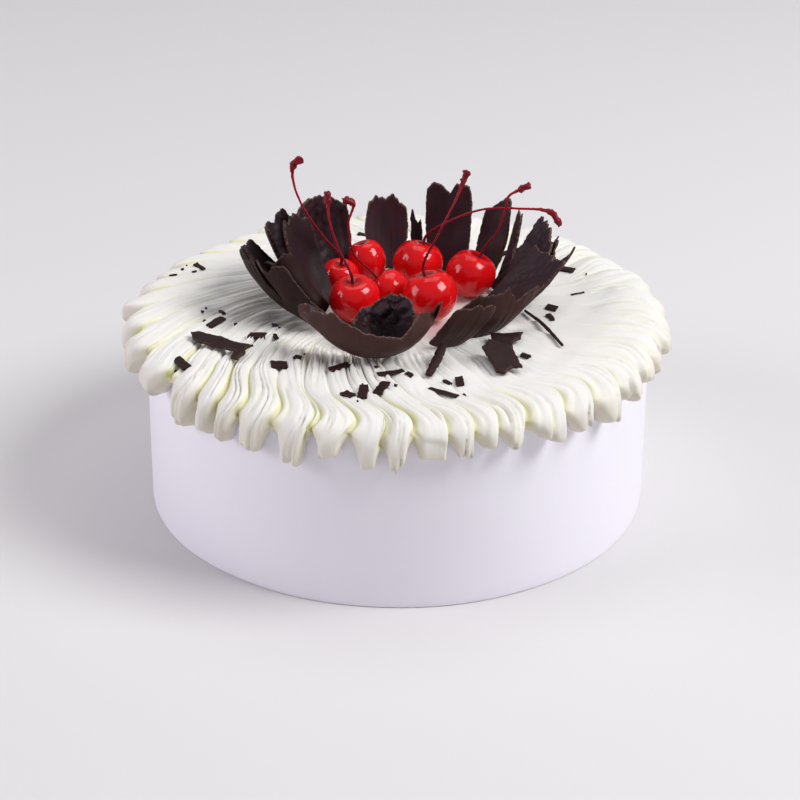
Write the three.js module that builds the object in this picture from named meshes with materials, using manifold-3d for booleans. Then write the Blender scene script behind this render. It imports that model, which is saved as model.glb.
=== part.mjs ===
// Black forest cake: a smooth white cake with a cap of piped cream, a flower of dark chocolate
// shavings on top and cherries with stems inside the flower.
// Millimetres, +Z up, origin at the middle of the cake's underside, the show side faces -Y.

import * as THREE from 'three';
import { mergeVertices } from 'three/addons/utils/BufferGeometryUtils.js';
import Module from 'manifold-3d';

const wasm = await Module();
wasm.setup();

// ---------------------------------------------------------------- driving dimensions

const GAP = 0.3;                    // air left between pieces that rest on each other

const CAKE_RADIUS = 100;            // an eight inch cake
const CAKE_HEIGHT = 71.5;
const CAKE_EDGE = 1.5;              // rounding of the top edge
const CAKE_FOOT_EDGE = 0.8;         // rounding at the base
const CAKE_SIDES = 104;

const CREAM_TOP = 75.4;             // mean height of the piped top
const CREAM_BED_RADIUS = 46;        // level cream that the flower stands on
const CREAM_BED_HEIGHT = 75.0;
const CREAM_SEED = 11;

const THICKNESS = 1.5;              // chocolate shavings
const FOOT_Z = CREAM_BED_HEIGHT + GAP;

const STEM_RADIUS = 0.6;

// ---------------------------------------------------------------- small helpers

const TAU = 2 * Math.PI;
const rad = THREE.MathUtils.degToRad;
const lerp = THREE.MathUtils.lerp;
const clamp = THREE.MathUtils.clamp;
const smooth = (x) => THREE.MathUtils.smoothstep(x, 0, 1);

// Repeatable uneven value between 0 and 1 for a whole number and a seed.
function uneven(index, seed) {
  const wave = Math.sin(index * 12.9898 + seed * 78.233) * 43758.5453;
  return wave - Math.floor(wave);
}

// Straight-line interpolation in a short list of [position, value] pairs that wraps at 360 degrees.
function around(pairs, degrees) {
  const turn = THREE.MathUtils.euclideanModulo(degrees - pairs[0][0], 360) + pairs[0][0];
  for (let i = 0; i < pairs.length; i += 1) {
    const next = i + 1 < pairs.length ? pairs[i + 1] : [pairs[0][0] + 360, pairs[0][1]];
    if (turn <= next[0]) {
      const share = (turn - pairs[i][0]) / (next[0] - pairs[i][0]);
      return lerp(pairs[i][1], next[1], smooth(share));
    }
  }
  return pairs[0][1];
}

function meshGeometry(points, faces) {
  const geometry = new THREE.BufferGeometry();
  geometry.setAttribute('position', new THREE.Float32BufferAttribute(points.flat(), 3));
  geometry.setIndex(faces.flat());
  return geometry;
}

// Closed skin over rings of points: each ring is joined to the next, both ends are capped by a fan.
function skin(rings, startTip, endTip) {
  const count = rings[0].length;
  const points = rings.flat();
  const faces = [];
  for (let r = 0; r + 1 < rings.length; r += 1) {
    for (let i = 0; i < count; i += 1) {
      const j = (i + 1) % count;
      const a = r * count + i;
      const b = r * count + j;
      faces.push([a, b, b + count], [a, b + count, a + count]);
    }
  }
  const start = points.push(startTip) - 1;
  const end = points.push(endTip) - 1;
  const last = (rings.length - 1) * count;
  for (let i = 0; i < count; i += 1) {
    const j = (i + 1) % count;
    faces.push([start, j, i], [end, last + i, last + j]);
  }
  return meshGeometry(points, faces);
}

function toManifold(geometry) {
  const bare = geometry.clone();
  bare.deleteAttribute('normal');
  bare.deleteAttribute('uv');
  const merged = mergeVertices(bare);
  return new wasm.Manifold(new wasm.Mesh({
    numProp: 3,
    vertProperties: Float32Array.from(merged.attributes.position.array),
    triVerts: Uint32Array.from(merged.index.array),
  }));
}

function fromManifold(solid) {
  const mesh = solid.getMesh();
  const geometry = new THREE.BufferGeometry();
  geometry.setAttribute('position', new THREE.BufferAttribute(mesh.vertProperties, 3));
  geometry.setIndex(new THREE.BufferAttribute(mesh.triVerts, 1));
  return geometry;
}

function largestBody(solid) {
  const bodies = solid.decompose();
  return bodies.reduce((best, body) => (body.volume() > best.volume() ? body : best));
}

// ---------------------------------------------------------------- cake

function cakeBody() {
  const profile = [new THREE.Vector2(0, 0)];
  profile.push(new THREE.Vector2(CAKE_RADIUS - CAKE_FOOT_EDGE, 0));
  profile.push(new THREE.Vector2(CAKE_RADIUS, CAKE_FOOT_EDGE));
  profile.push(new THREE.Vector2(CAKE_RADIUS, CAKE_HEIGHT - CAKE_EDGE));
  profile.push(new THREE.Vector2(CAKE_RADIUS - CAKE_EDGE, CAKE_HEIGHT));
  profile.push(new THREE.Vector2(0, CAKE_HEIGHT));
  const geometry = new THREE.LatheGeometry(profile, CAKE_SIDES);
  geometry.rotateX(Math.PI / 2);
  return geometry;
}

// ---------------------------------------------------------------- piped cream

// Each stroke of the piping bag ends in a lobe that hangs over the edge. The lobes of the show side:
// where the tip hangs (degrees round the cake) and how low it reaches.
const SHOWN_TIPS = [
  [-176, 63], [-164, 64], [-152, 65], [-140, 59], [-134, 61], [-128, 62], [-122, 60], [-111, 60],
  [-104, 64], [-95, 60], [-90, 61], [-82, 63], [-76, 65.5], [-71, 66.5], [-66, 66], [-56, 66.5],
  [-48, 65.5], [-40, 63.5], [-32, 67], [-24, 66], [-17, 65], [-9, 66],
];
const BACK_STROKES = 22;            // lobes spread over the rest of the rim
const TIP_LOW = 60;
const TIP_HIGH = 66.5;

// How far a stroke is swept round the cake on its way from the flower to the rim, in degrees.
const SWEEP = [[-174, 62], [-160, 58], [-148, 52], [-135, 42], [-105, 30], [-84, 24], [-70, 7],
  [-58, -6], [-38, -7], [0, -14], [30, -4], [60, 12], [90, 28], [120, 44], [150, 59]];
// Height of the ridges on the top near the flower, in millimetres from valley to crest.
const RIDGES = [[-150, 2.2], [-90, 2.2], [-60, 1.0], [-20, 0.7], [30, 0.9], [90, 1.6], [160, 2.2]];

// How far a stroke swings past its tip's angle at the shoulder before it comes back, in degrees.
const SWING = [[-176, 0.6], [-140, 1.2], [-120, 2.2], [-100, 3.2], [-76, 1.8], [-40, 3.0],
  [20, 2.6], [150, 0.8]];
// Height of the strokes at the rim, in millimetres from valley to crest.
const RIM_RELIEFS = [[-176, 2.2], [-150, 3.2], [-90, 3.6], [-60, 2.8], [-20, 2.2], [40, 2.2],
  [110, 2.2], [150, 1.4]];

const SWEEP_START = 41;             // radius where the full sweep is reached
const SWEEP_END = 106;              // radius where the sweep is over
const SWEEP_BEND = 1.5;             // how sharply a stroke turns near the flower
const RIDGE_START = 8;              // the ridges grow over this distance from the level bed
const RIM_START = 74;               // outside this radius the ridges change to the rim's own relief
const RIM_SPREAD = 18;
const SWELL_START = 68;             // the top rises from here to the shoulder
const SWELL_SPREAD = 26;
const SWELLS = [[-176, 2.4], [-140, 2.4], [-90, 2.0], [-30, 2.0], [20, 2.8], [90, 2.2], [150, 1.2]];
// How round the fall over the rim is: 1 is an ellipse, less is fuller.
const FULLNESS = [[-176, 0.66], [-140, 0.74], [-90, 0.86], [-30, 0.8], [20, 0.7], [90, 0.74],
  [150, 0.76]];
const MEAN_DOME = 0.6;              // share of a stroke's height that lies below the mean top
const SHOULDER_LOBE = 92;           // where a lobe starts to fall, and where a valley does
const SHOULDER_VALLEY = 88.5;
const SWING_START = 72;             // a stroke swings out from here to the shoulder
const SWING_SPREAD = 24;
// How far the lobes stand out.
const REACHES = [[-176, 110.6], [-155, 109.2], [-130, 108.3], [110, 108.3], [160, 109.4]];
const REACH_VALLEY = 101.7;         // how far the valleys between them stand out
const REACH_SPREAD = 1.2;
const NOSE = 3.2;                   // height of the rounded lower end of a lobe
const NOTCH = 9.5;                  // how much higher the edge is between two lobes
const NOTCH_HIGHEST = 70.7;
const FULL_NOTCH_GAP = 8;           // lobes closer than this, in degrees, part less deeply
const HEM_RADIUS = CAKE_RADIUS + 1; // the lobes tuck in to here under their noses
const HEM_STEP = 0.6;               // and step up this far to meet the cake's side
const CREST_SHOULDER = 0.68;        // height share of the columns beside a crest
const FINGER_SHOULDER = 0.56;       // how far these columns stand out at the rim, as a share
const FINGER_LOW = 0.6;             // how far their lower end has risen towards the notch, as a share
// Where the valley lies between two crests, as a share of the way.
const VALLEY_PLACE = [[-176, 0.5], [-100, 0.5], [-60, 0.34], [-10, 0.32], [60, 0.44], [150, 0.5]];

function pipedStrokes() {
  const strokes = SHOWN_TIPS.map(([turn, low]) => ({ turn, low }));
  const first = SHOWN_TIPS[SHOWN_TIPS.length - 1][0];
  const span = SHOWN_TIPS[0][0] + 360 - first;
  for (let i = 1; i < BACK_STROKES; i += 1) {
    const stray = (uneven(i, CREAM_SEED) - 0.5) * 0.45;
    const turn = first + (span * (i + stray)) / BACK_STROKES;
    strokes.push({ turn, low: lerp(TIP_LOW, TIP_HIGH, uneven(i, CREAM_SEED + 1)) });
  }
  strokes.forEach((stroke, i) => {
    const next = strokes[(i + 1) % strokes.length];
    stroke.gap = THREE.MathUtils.euclideanModulo(next.turn - stroke.turn, 360);
    stroke.reach = around(REACHES, stroke.turn) + (uneven(i, CREAM_SEED + 2) - 0.5) * 2 * REACH_SPREAD;
    const rise = NOTCH * Math.min(stroke.gap / FULL_NOTCH_GAP, 1);
    stroke.notch = Math.min(Math.max(stroke.low, next.low) + rise, NOTCH_HIGHEST);
  });
  return strokes;
}

// Mean height of the piped top: level at the flower, and full towards the rim.
function meanTop(radius, turn) {
  const grown = smooth((radius - CREAM_BED_RADIUS) / RIDGE_START);
  const swollen = around(SWELLS, turn) * smooth((radius - SWELL_START) / SWELL_SPREAD);
  return lerp(CREAM_BED_HEIGHT, CREAM_TOP, grown) + swollen;
}

// One column of points of the cream, from the flower over the rim to the hem and under it.
// dome is 1 on the crest of a stroke and 0 in the valley beside it, and finger is the same at the rim.
function creamColumn(turn, dome, reach, low, finger = dome) {
  const shoulder = lerp(SHOULDER_VALLEY, SHOULDER_LOBE, dome);
  const out = lerp(REACH_VALLEY, reach, finger);
  const ridge = around(RIDGES, turn);
  const points = [];
  const place = (radius, height, sweepRadius, hang = 0) => {
    const inward = clamp((SWEEP_END - sweepRadius) / (SWEEP_END - SWEEP_START), 0, 1);
    const swung = smooth((radius - SWING_START) / SWING_SPREAD) - smooth(hang);
    const angle = rad(turn - around(SWEEP, turn) * inward ** SWEEP_BEND + around(SWING, turn) * swung);
    points.push([radius * Math.cos(angle), radius * Math.sin(angle), height]);
  };
  const topHeight = (radius) => {
    const grown = smooth((radius - CREAM_BED_RADIUS) / RIDGE_START);
    const rim = smooth((radius - RIM_START) / RIM_SPREAD);
    const relief = lerp(ridge, around(RIM_RELIEFS, turn), rim) * grown;
    return meanTop(radius, turn) + relief * (dome - MEAN_DOME);
  };
  for (const share of [0.14, 0.5, 0.63, 0.76, 0.88, 1]) {
    const radius = shoulder * share;
    place(radius, topHeight(radius), radius);
  }
  const top = topHeight(shoulder);
  const middle = low + NOSE;
  const fullness = around(FULLNESS, turn);
  for (const turnDown of [24, 48, 70, 90]) {
    const radius = shoulder + (out - shoulder) * Math.sin(rad(turnDown)) ** fullness;
    const height = middle + (top - middle) * Math.abs(Math.cos(rad(turnDown))) ** fullness;
    place(radius, height, radius, turnDown / 90);
  }
  for (const turnIn of [130, 180]) {
    const radius = HEM_RADIUS + (out - HEM_RADIUS) * Math.sin(rad(turnIn));
    place(radius, middle + NOSE * Math.cos(rad(turnIn)), SWEEP_END, 1);
  }
  place(CAKE_RADIUS + GAP, low + HEM_STEP, SWEEP_END, 1);
  place(CAKE_RADIUS + GAP, CAKE_HEIGHT + GAP, SWEEP_END, 1);
  return points;
}

function creamCap() {
  const strokes = pipedStrokes();
  const columns = [];
  strokes.forEach((stroke, i) => {
    const next = strokes[(i + 1) % strokes.length];
    const before = stroke.gap * around(VALLEY_PLACE, stroke.turn + stroke.gap / 2);
    const after = stroke.gap - before;
    columns.push(creamColumn(stroke.turn, 1, stroke.reach, stroke.low));
    const sideLow = (low) => lerp(low, stroke.notch, FINGER_LOW);
    columns.push(creamColumn(stroke.turn + before * 0.62, CREST_SHOULDER, stroke.reach,
      sideLow(stroke.low), FINGER_SHOULDER));
    columns.push(creamColumn(stroke.turn + before, 0, stroke.reach, stroke.notch));
    columns.push(creamColumn(stroke.turn + before + after * 0.38, CREST_SHOULDER, next.reach,
      sideLow(next.low), FINGER_SHOULDER));
  });
  const rings = columns[0].map((_, row) => columns.map((column) => column[row]));
  return skin(rings.reverse(), [0, 0, CAKE_HEIGHT + GAP], [0, 0, CREAM_BED_HEIGHT]);
}

// Small shavings scattered on the cream: [x, y, length, width, turn], pressed a little way in.
const SCATTERED_HEIGHT = 2.4;
const SCATTERED_SHOWS = 0.6;        // their middle lies this far above the mean top
const SCATTERED_TILT = 8;
const SCATTERED = [
  [-82, 40, 5, 2, -37], [-92, 31, 3.4, 2, -60], [-71.6, -12.9, 10, 3, 60], [-70, -1.7, 7, 1.4, -77],
  [-54.7, -24, 7, 4, -15], [-48, -15, 4, 1.8, -60], [-47.3, -24.8, 5, 1.3, -71],
  [-81.6, -51.9, 10, 3.5, -60], [-45, -48.3, 6.3, 5, 10], [-38.2, -43.6, 3, 2, -36],
  [-22.2, -50, 8.5, 3.2, 40], [-12.8, -72, 9, 3.6, 85], [-18.2, -75, 5, 3.4, -47],
  [-5.9, -68, 9, 3.6, 70], [-2.5, -54.8, 10.5, 2.6, 28], [4.4, -56.4, 3.4, 1.6, -50],
  [23.4, -61.5, 6, 3, -85], [18.6, -63, 3.6, 1.6, -44], [17.2, -71.4, 13.5, 2, -42],
  [49, -38.4, 4.4, 2, -40], [72.7, 18.9, 5.8, 1.4, 11], [61.4, 6, 4.5, 3, -30],
  [60.4, -3.2, 5, 1.8, -70], [-46, 64, 6, 2.4, 30], [-14, 76, 7, 2.6, -20], [20, 68, 5, 3, 50],
  [47, 60, 7.5, 2.4, 10], [70, 40, 5.5, 3, -35],
];

function scatteredShaving([x, y, length, width, turn]) {
  const flake = new THREE.BoxGeometry(length, width, SCATTERED_HEIGHT);
  flake.rotateX(rad(SCATTERED_TILT));
  flake.rotateZ(rad(turn));
  const top = meanTop(Math.hypot(x, y), THREE.MathUtils.radToDeg(Math.atan2(y, x)));
  flake.translate(x, y, top + SCATTERED_SHOWS);
  return flake;
}

function pipedCream() {
  let cream = toManifold(creamCap());
  for (const shaving of SCATTERED) {
    cream = cream.add(toManifold(scatteredShaving(shaving)));
  }
  return fromManifold(largestBody(cream));
}

// ---------------------------------------------------------------- cherries

// foot: where the cherry rests; lean: direction and angle of the stem end away from straight up.
const CHERRIES = [
  { name: 'front_left', at: [-17.2, -6.6], radius: 10.0, lean: [-120, 12] },
  { name: 'front_right', at: [12.4, -5.0], radius: 10.9, lean: [150, 16] },
  { name: 'low_middle', at: [-3.9, 6.0], radius: 8.2, lean: [160, 48] },
  { name: 'back_left', at: [-12.8, 30.4], radius: 9.0, long: 1.1, slim: 0.88, lean: [150, 18] },
  { name: 'back_middle', at: [8.0, 27.6], radius: 10.4, lean: [40, 20] },
  { name: 'right', at: [29.2, 18.4], radius: 10.1, lean: [10, 26] },
  { name: 'far_left', at: [-23.6, 19.2], radius: 7.8, lean: [-60, 10] },
];
const CHERRY_SIDES = 14;
const CHERRY_STEPS = 10;
const CHERRY_SQUASH = 0.97;         // height of a cherry's ball as a share of its width
const CHERRY_STAND = 0.98;          // height of its middle above the cream, leaning, in radii
const DIMPLE_DEPTH = 2.2;
const DIMPLE_SPREAD = 0.42;         // in radians from the stem end

// Profile of a cherry on its own axis: a slightly flattened ball with a dimple at the stem end.
function cherryProfile(radius) {
  const profile = [];
  for (let i = 0; i <= CHERRY_STEPS; i += 1) {
    const angle = -Math.PI / 2 + (Math.PI * i) / CHERRY_STEPS;
    const dimple = Math.exp(-(((Math.PI / 2 - angle) / DIMPLE_SPREAD) ** 2)) * DIMPLE_DEPTH;
    const x = i === 0 || i === CHERRY_STEPS ? 0 : radius * Math.cos(angle);
    profile.push(new THREE.Vector2(x, radius * CHERRY_SQUASH * Math.sin(angle) - dimple));
  }
  return profile;
}

function leanTurn([direction, angle]) {
  const axis = new THREE.Vector3(-Math.sin(rad(direction)), Math.cos(rad(direction)), 0);
  return new THREE.Quaternion().setFromAxisAngle(axis, rad(angle));
}

function cherryCentre(cherry) {
  const stand = cherry.radius * (cherry.long || 1) * CHERRY_STAND;
  return new THREE.Vector3(cherry.at[0], cherry.at[1], FOOT_Z + stand);
}

function cherryGeometry(cherry) {
  const geometry = new THREE.LatheGeometry(cherryProfile(cherry.radius), CHERRY_SIDES);
  geometry.rotateX(Math.PI / 2);
  geometry.scale(cherry.slim || 1, cherry.slim || 1, cherry.long || 1);
  geometry.applyQuaternion(leanTurn(cherry.lean));
  return geometry;
}

// ---------------------------------------------------------------- stems

// Each stem leaves the dimple of its cherry and passes these points on its way to the bud end.
const STEMS = [
  { cherry: 'front_left', way: [[-23.6, -9, 108], [-26.8, -12, 121], [-27.4, -13, 132.5]] },
  { cherry: 'front_right', way: [[15.2, -6, 112], [21.6, -8, 127], [26.2, -9, 140]] },
  { cherry: 'low_middle', way: [[-17.6, 6, 98.5], [-19.8, 5, 112], [-17.8, 4, 121], [-21.6, 3, 123]] },
  { cherry: 'back_middle', way: [[22, 21, 107.6], [34, 16, 114], [47, 12, 116], [60, 8, 116],
    [63.4, 6, 111.5]] },
  { cherry: 'right', way: [[39.5, 14, 106], [42.2, 11, 117], [43, 9, 122.4], [51.4, 7, 128]] },
  { cherry: 'far_left', way: [[-30.5, 12, 104], [-37.4, 6, 118], [-41, 4, 129], [-41, 3, 137.4],
    [-37.4, 3, 140]] },
];
const STEM_SIDES = 6;
const STEM_STEPS = 11;
const BUD_RADIUS = 1.5;
const BUD_SHARE = 0.16;             // part of the stem's length that the bud end takes
const STEM_RISE = 4;                // straight stretch out of the dimple

function stemGeometry(stem) {
  const cherry = CHERRIES.find((one) => one.name === stem.cherry);
  const up = new THREE.Vector3(0, 0, 1).applyQuaternion(leanTurn(cherry.lean));
  const long = cherry.long || 1;
  const start = (cherry.radius * CHERRY_SQUASH - DIMPLE_DEPTH) * long + 2 * GAP;
  const points = [start, start + STEM_RISE].map((d) => cherryCentre(cherry).addScaledVector(up, d));
  stem.way.forEach((point) => points.push(new THREE.Vector3(...point)));
  const path = new THREE.CatmullRomCurve3(points, false, 'centripetal');
  const frames = path.computeFrenetFrames(STEM_STEPS);
  const rings = [];
  for (let i = 0; i <= STEM_STEPS; i += 1) {
    const share = i / STEM_STEPS;
    const swell = clamp((share - 1 + BUD_SHARE) / BUD_SHARE, 0, 1);
    const radius = lerp(STEM_RADIUS, BUD_RADIUS, swell);
    const middle = path.getPointAt(share);
    rings.push(Array.from({ length: STEM_SIDES }, (_, k) => {
      const angle = (TAU * k) / STEM_SIDES;
      return middle.clone()
        .addScaledVector(frames.normals[i], radius * Math.cos(angle))
        .addScaledVector(frames.binormals[i], radius * Math.sin(angle))
        .toArray();
    }));
  }
  return skin(rings, path.getPointAt(0).toArray(), path.getPointAt(1).toArray());
}

// ---------------------------------------------------------------- chocolate petals

// A petal is one curved shaving. facing: the direction of its outer face, in degrees; foot: where it
// stands on the cream, with a lift where a corner reaches lower; tip: the middle of its broken upper
// edge; width: at its widest; cup: half the angle that its cross-section bends through; bow: how far
// its middle bulges outwards; jag: depth of the broken edge; rim: how much of it is broken off in
// each step across, or a seed where that is left to chance; base and top: its width at both ends as
// a share of the widest; roll: turn about its own length.
const PETALS = [
  { name: 'front_bowl', facing: -92, foot: [-8, -40.5], tip: [-12.8, -50, 100.5], width: 54,
    cup: 78, bow: 6.5, jag: 12, rim: [0.3, 0, 0.05, 0.55, 0.95, 0, 0.1], base: 0.84, top: 0.9,
    roll: 2 },
  { name: 'front_inner', facing: 80, foot: [-4, -25], tip: [-4, -23.5, 96.5], width: 24, cup: 66,
    bow: 1.5, jag: 9, rim: [0.45, 0.1, 0, 0.1, 0.35, 0.6, 1], base: 0.8, top: 1 },
  { name: 'front_shard', facing: 150, foot: [-13, -32], tip: [-15.5, -27.5, 91], width: 11, cup: 24,
    bow: 1, jag: 6, rim: [0.7, 0.1, 0.5, 0, 0.6, 0.3, 1], base: 1, top: 0.8 },
  { name: 'left_outer', facing: 186, foot: [-34, -7], tip: [-62.5, -4, 105], width: 22, cup: 34,
    bow: 4.5, jag: 3, base: 0.6, top: 0.55, roll: 10, seed: 3 },
  { name: 'left_front', facing: 202, foot: [-30, -17, 1.6], tip: [-52.5, -14, 106], width: 17.5,
    cup: 36, bow: 3.5, jag: 6, rim: [0.5, 0.2, 0.9, 0.8, 0.4, 0.6, 0.5], base: 0.8, top: 0.8,
    roll: 34 },
  { name: 'left_low', facing: 168, foot: [-38, 12], tip: [-62, 14, 101], width: 14, cup: 30,
    bow: 2.5, jag: 4, base: 0.7, top: 0.5, seed: 5 },
  { name: 'left_inner', facing: 152, foot: [-29.5, 3], tip: [-43, 10, 115], width: 21, cup: 36,
    bow: 3, jag: 4, base: 0.6, top: 0.75, seed: 6 },
  { name: 'left_roll', facing: 176, foot: [-30.5, -9, 2.1], tip: [-47.5, -9.5, 105], width: 11,
    cup: 78, bow: 1, jag: 5, rim: [0.2, 0, 0.5, 0.3, 0.1, 0.6, 1], base: 0.9, top: 0.95, roll: 105 },
  { name: 'left_ruffle', facing: 158, foot: [-38.1, 24.6], tip: [-53.5, 25.6, 108], width: 19.5,
    cup: 50, bow: 2, jag: 5, base: 0.6, top: 0.95, seed: 7 },
  { name: 'left_back', facing: 132, foot: [-29, 32], tip: [-34, 36, 112], width: 29, cup: 46,
    bow: 4, jag: 5, rim: [1, 0.5, 0.15, 0.1, 0, 0.1, 0.5], base: 0.6, top: 0.85 },
  { name: 'back_left', facing: 97, foot: [-5, 43], tip: [-5, 50, 108], width: 18, cup: 34,
    bow: 3, jag: 7, rim: [0.9, 0.55, 0.1, 0.35, 0.2, 0.05, 0.4], base: 0.7, top: 0.75 },
  { name: 'back_spike', facing: 85, foot: [8, 45.5], tip: [6.5, 50, 103], width: 5.5, cup: 12,
    bow: 1, jag: 8, base: 1, top: 0.6, seed: 10 },
  { name: 'back_right', facing: 74, foot: [20, 41], tip: [20.5, 45, 115.5], width: 20, cup: 24,
    bow: 2, jag: 6, rim: [0.1, 0, 0.15, 0.9, 0.3, 0.2, 0.6], base: 0.75, top: 0.9 },
  { name: 'right_back', facing: 54, foot: [34, 33], tip: [42, 37, 113], width: 14, cup: 24,
    bow: 2, jag: 9, rim: [0.15, 0, 0.1, 0.3, 0.55, 0.8, 1], base: 0.7, top: 0.7 },
  { name: 'right_blade', facing: 40, foot: [41.2, 26.7], tip: [49.9, 32, 110], width: 5, cup: 10,
    bow: 1, jag: 5, base: 1, top: 0.4, seed: 13 },
  { name: 'right_jagged', facing: 22, foot: [42.4, 13.6], tip: [62.5, 19.5, 107], width: 22,
    cup: 28, bow: 2, jag: 9, rim: [1, 0.75, 0.55, 0.2, 0.1, 0, 0.1], base: 0.92, top: 0.9 },
  { name: 'right_shard', facing: 28, foot: [47.5, 8], tip: [68, 11, 103.5], width: 15, cup: 14,
    bow: 1, jag: 9, rim: [0, 0.6, 1, 1, 0.8, 0.3, 0], base: 0.65, top: 0.9 },
  { name: 'right_inner', facing: 30, foot: [37, 1], tip: [62, 2, 102.5], width: 22, cup: 18,
    bow: 2, jag: 4, rim: [0.3, 0.1, 0.5, 0.2, 0.1, 0.3, 0.1], base: 0.65, top: 1 },
  { name: 'right_front', facing: -64, foot: [33.5, -20.3, 0.1], tip: [43.5, -17.5, 97.5], width: 36,
    cup: 28, bow: 2.5, jag: 8, rim: [1, 0.1, 0.3, 0.15, 0.9, 0.4, 0.5], base: 0.7, top: 0.98,
    roll: 3 },
  { name: 'front_right', facing: -62, foot: [19.5, -30.5], tip: [31.5, -34, 96], width: 19, cup: 30,
    bow: 2, jag: 4, rim: [0.6, 0.1, 0.3, 0, 0.2, 0.1, 0.8], base: 0.8, top: 0.85, roll: -8,
    seed: 18 },
];
const PETAL_COLUMNS = 6;
const PETAL_ROWS = 5;
const ROOM_MARGIN = 0.03;           // the room kept round a petal passes its edges by this share

function petalWidth(petal, v) {
  if (v < 0.5) {
    return petal.width * lerp(petal.base, 1, Math.sin(Math.PI * v));
  }
  return petal.width * lerp(1, petal.top, (2 * v - 1) ** 2);
}

// Point on the middle surface of a petal and the direction into the flower there. u runs from -1 to 1
// across the petal and v from 0 at the foot to 1 at the tip.
function petalPoint(petal, u, v) {
  const outward = new THREE.Vector3(Math.cos(rad(petal.facing)), Math.sin(rad(petal.facing)), 0);
  const level = new THREE.Vector3(-outward.y, outward.x, 0);
  const [footX, footY, lift = 0] = petal.foot;
  const foot = new THREE.Vector3(footX, footY, FOOT_Z + THICKNESS / 2 + lift);
  const tip = new THREE.Vector3(...petal.tip);
  const chord = tip.clone().sub(foot);
  const bulge = level.clone().cross(chord).normalize();
  const bend = foot.clone().add(tip).multiplyScalar(0.5).addScaledVector(bulge, 2 * petal.bow);
  const curve = new THREE.QuadraticBezierCurve3(foot, bend, tip);
  const middle = curve.getPoint(v);
  const along = curve.getTangent(clamp(v, 0, 1));
  const roll = new THREE.Quaternion().setFromAxisAngle(along, rad(petal.roll || 0));
  const across = level.clone().applyQuaternion(roll);
  const inward = along.clone().cross(across).normalize();
  const half = rad(petal.cup);
  const bendRadius = petalWidth(petal, v) / 2 / Math.sin(half);
  const point = middle
    .addScaledVector(across, bendRadius * Math.sin(half * u))
    .addScaledVector(inward, bendRadius * (1 - Math.cos(half * u)));
  const normal = inward.multiplyScalar(Math.cos(half * u))
    .addScaledVector(across, -Math.sin(half * u));
  return { point, normal };
}

// A closed shell of the given thickness over the petal's middle surface.
function petalGeometry(petal, thickness, margin) {
  const inner = [];
  const outer = [];
  for (let i = 0; i <= PETAL_COLUMNS; i += 1) {
    const u = ((2 * i) / PETAL_COLUMNS - 1) * (1 + margin);
    const length = Math.hypot(petal.tip[0] - petal.foot[0], petal.tip[1] - petal.foot[1],
      petal.tip[2] - FOOT_Z);
    const broken = (petal.jag / length) * (petal.rim ? petal.rim[i] : uneven(i, petal.seed));
    for (let j = 0; j <= PETAL_ROWS; j += 1) {
      const v = (j / PETAL_ROWS) * (1 - broken + margin) - margin / 2;
      const { point, normal } = petalPoint(petal, u, v);
      inner.push(point.clone().addScaledVector(normal, thickness / 2).toArray());
      outer.push(point.clone().addScaledVector(normal, -thickness / 2).toArray());
    }
  }
  return sheetSolid(inner, outer, PETAL_COLUMNS, PETAL_ROWS);
}

// Two grids of points, front and back, joined round their edge.
function sheetSolid(front, back, columns, rows) {
  const points = [...front, ...back];
  const faces = [];
  const at = (i, j) => i * (rows + 1) + j;
  const far = front.length;
  for (let i = 0; i < columns; i += 1) {
    for (let j = 0; j < rows; j += 1) {
      const [a, b, c, d] = [at(i, j), at(i + 1, j), at(i + 1, j + 1), at(i, j + 1)];
      faces.push([a, c, b], [a, d, c]);
      faces.push([far + a, far + b, far + c], [far + a, far + c, far + d]);
    }
  }
  const edge = (a, b) => faces.push([a, far + b, far + a], [a, b, far + b]);
  for (let i = 0; i < columns; i += 1) {
    edge(at(i, 0), at(i + 1, 0));
    edge(at(i + 1, rows), at(i, rows));
  }
  for (let j = 0; j < rows; j += 1) {
    edge(at(0, j + 1), at(0, j));
    edge(at(columns, j), at(columns, j + 1));
  }
  return meshGeometry(points, faces);
}

// ---------------------------------------------------------------- large loose shavings

// Broken flakes that lie on the cream: the outline, the height of their middle and a tilt.
const FLAKES = [
  { name: 'flake_strip', at: [-68, -36], height: 79.5, turn: -23, tilt: 8,
    outline: [[-13.5, 1.4], [-11, 3.4], [-1, 3.2], [7, 1.6], [13.5, 1.2], [11.6, -1.6], [12.8, -4.4],
      [12, -9.6], [8.6, -8.8], [8.4, -4.2], [-2, -3.6], [-11, -2]] },
  { name: 'flake_large', at: [39.6, -46.5], height: 79.4, turn: 0, tilt: 16,
    outline: [[-7.6, 4.6], [-5, 9.6], [4.2, 5.6], [7.6, -6.4], [3.6, -6.4], [1, -10], [-2.6, -9]] },
  { name: 'flake_upper', at: [43, -27], height: 77.4, turn: 2, tilt: 10,
    outline: [[-7, 4], [5.8, 4.2], [4.8, 0.6], [2, -1.4], [0.4, -6], [-7.2, -3]] },
];
const FLAKE_THICKNESS = 1.4;

function flakeGeometry(flake) {
  const shape = new THREE.Shape(flake.outline.map(([x, y]) => new THREE.Vector2(x, y)));
  const geometry = new THREE.ExtrudeGeometry(shape, { depth: FLAKE_THICKNESS, bevelEnabled: false });
  geometry.translate(0, 0, -FLAKE_THICKNESS / 2);
  geometry.rotateX(rad(flake.tilt));
  geometry.rotateZ(rad(flake.turn));
  geometry.translate(flake.at[0], flake.at[1], flake.height);
  return geometry;
}

// Thin curled slivers: points along the middle, width and thickness.
const SLIVERS = [
  { name: 'sliver_upright', way: [[11.6, -57.4, 76.6], [14.8, -47.4, 78.1], [17.4, -38.6, 80.5]],
    width: 4.6 },
  { name: 'sliver_curl', way: [[50.5, 1, 76.7], [56.6, -12, 77.3], [63.6, -30, 76.5]],
    width: 1.8 },
];

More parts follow.
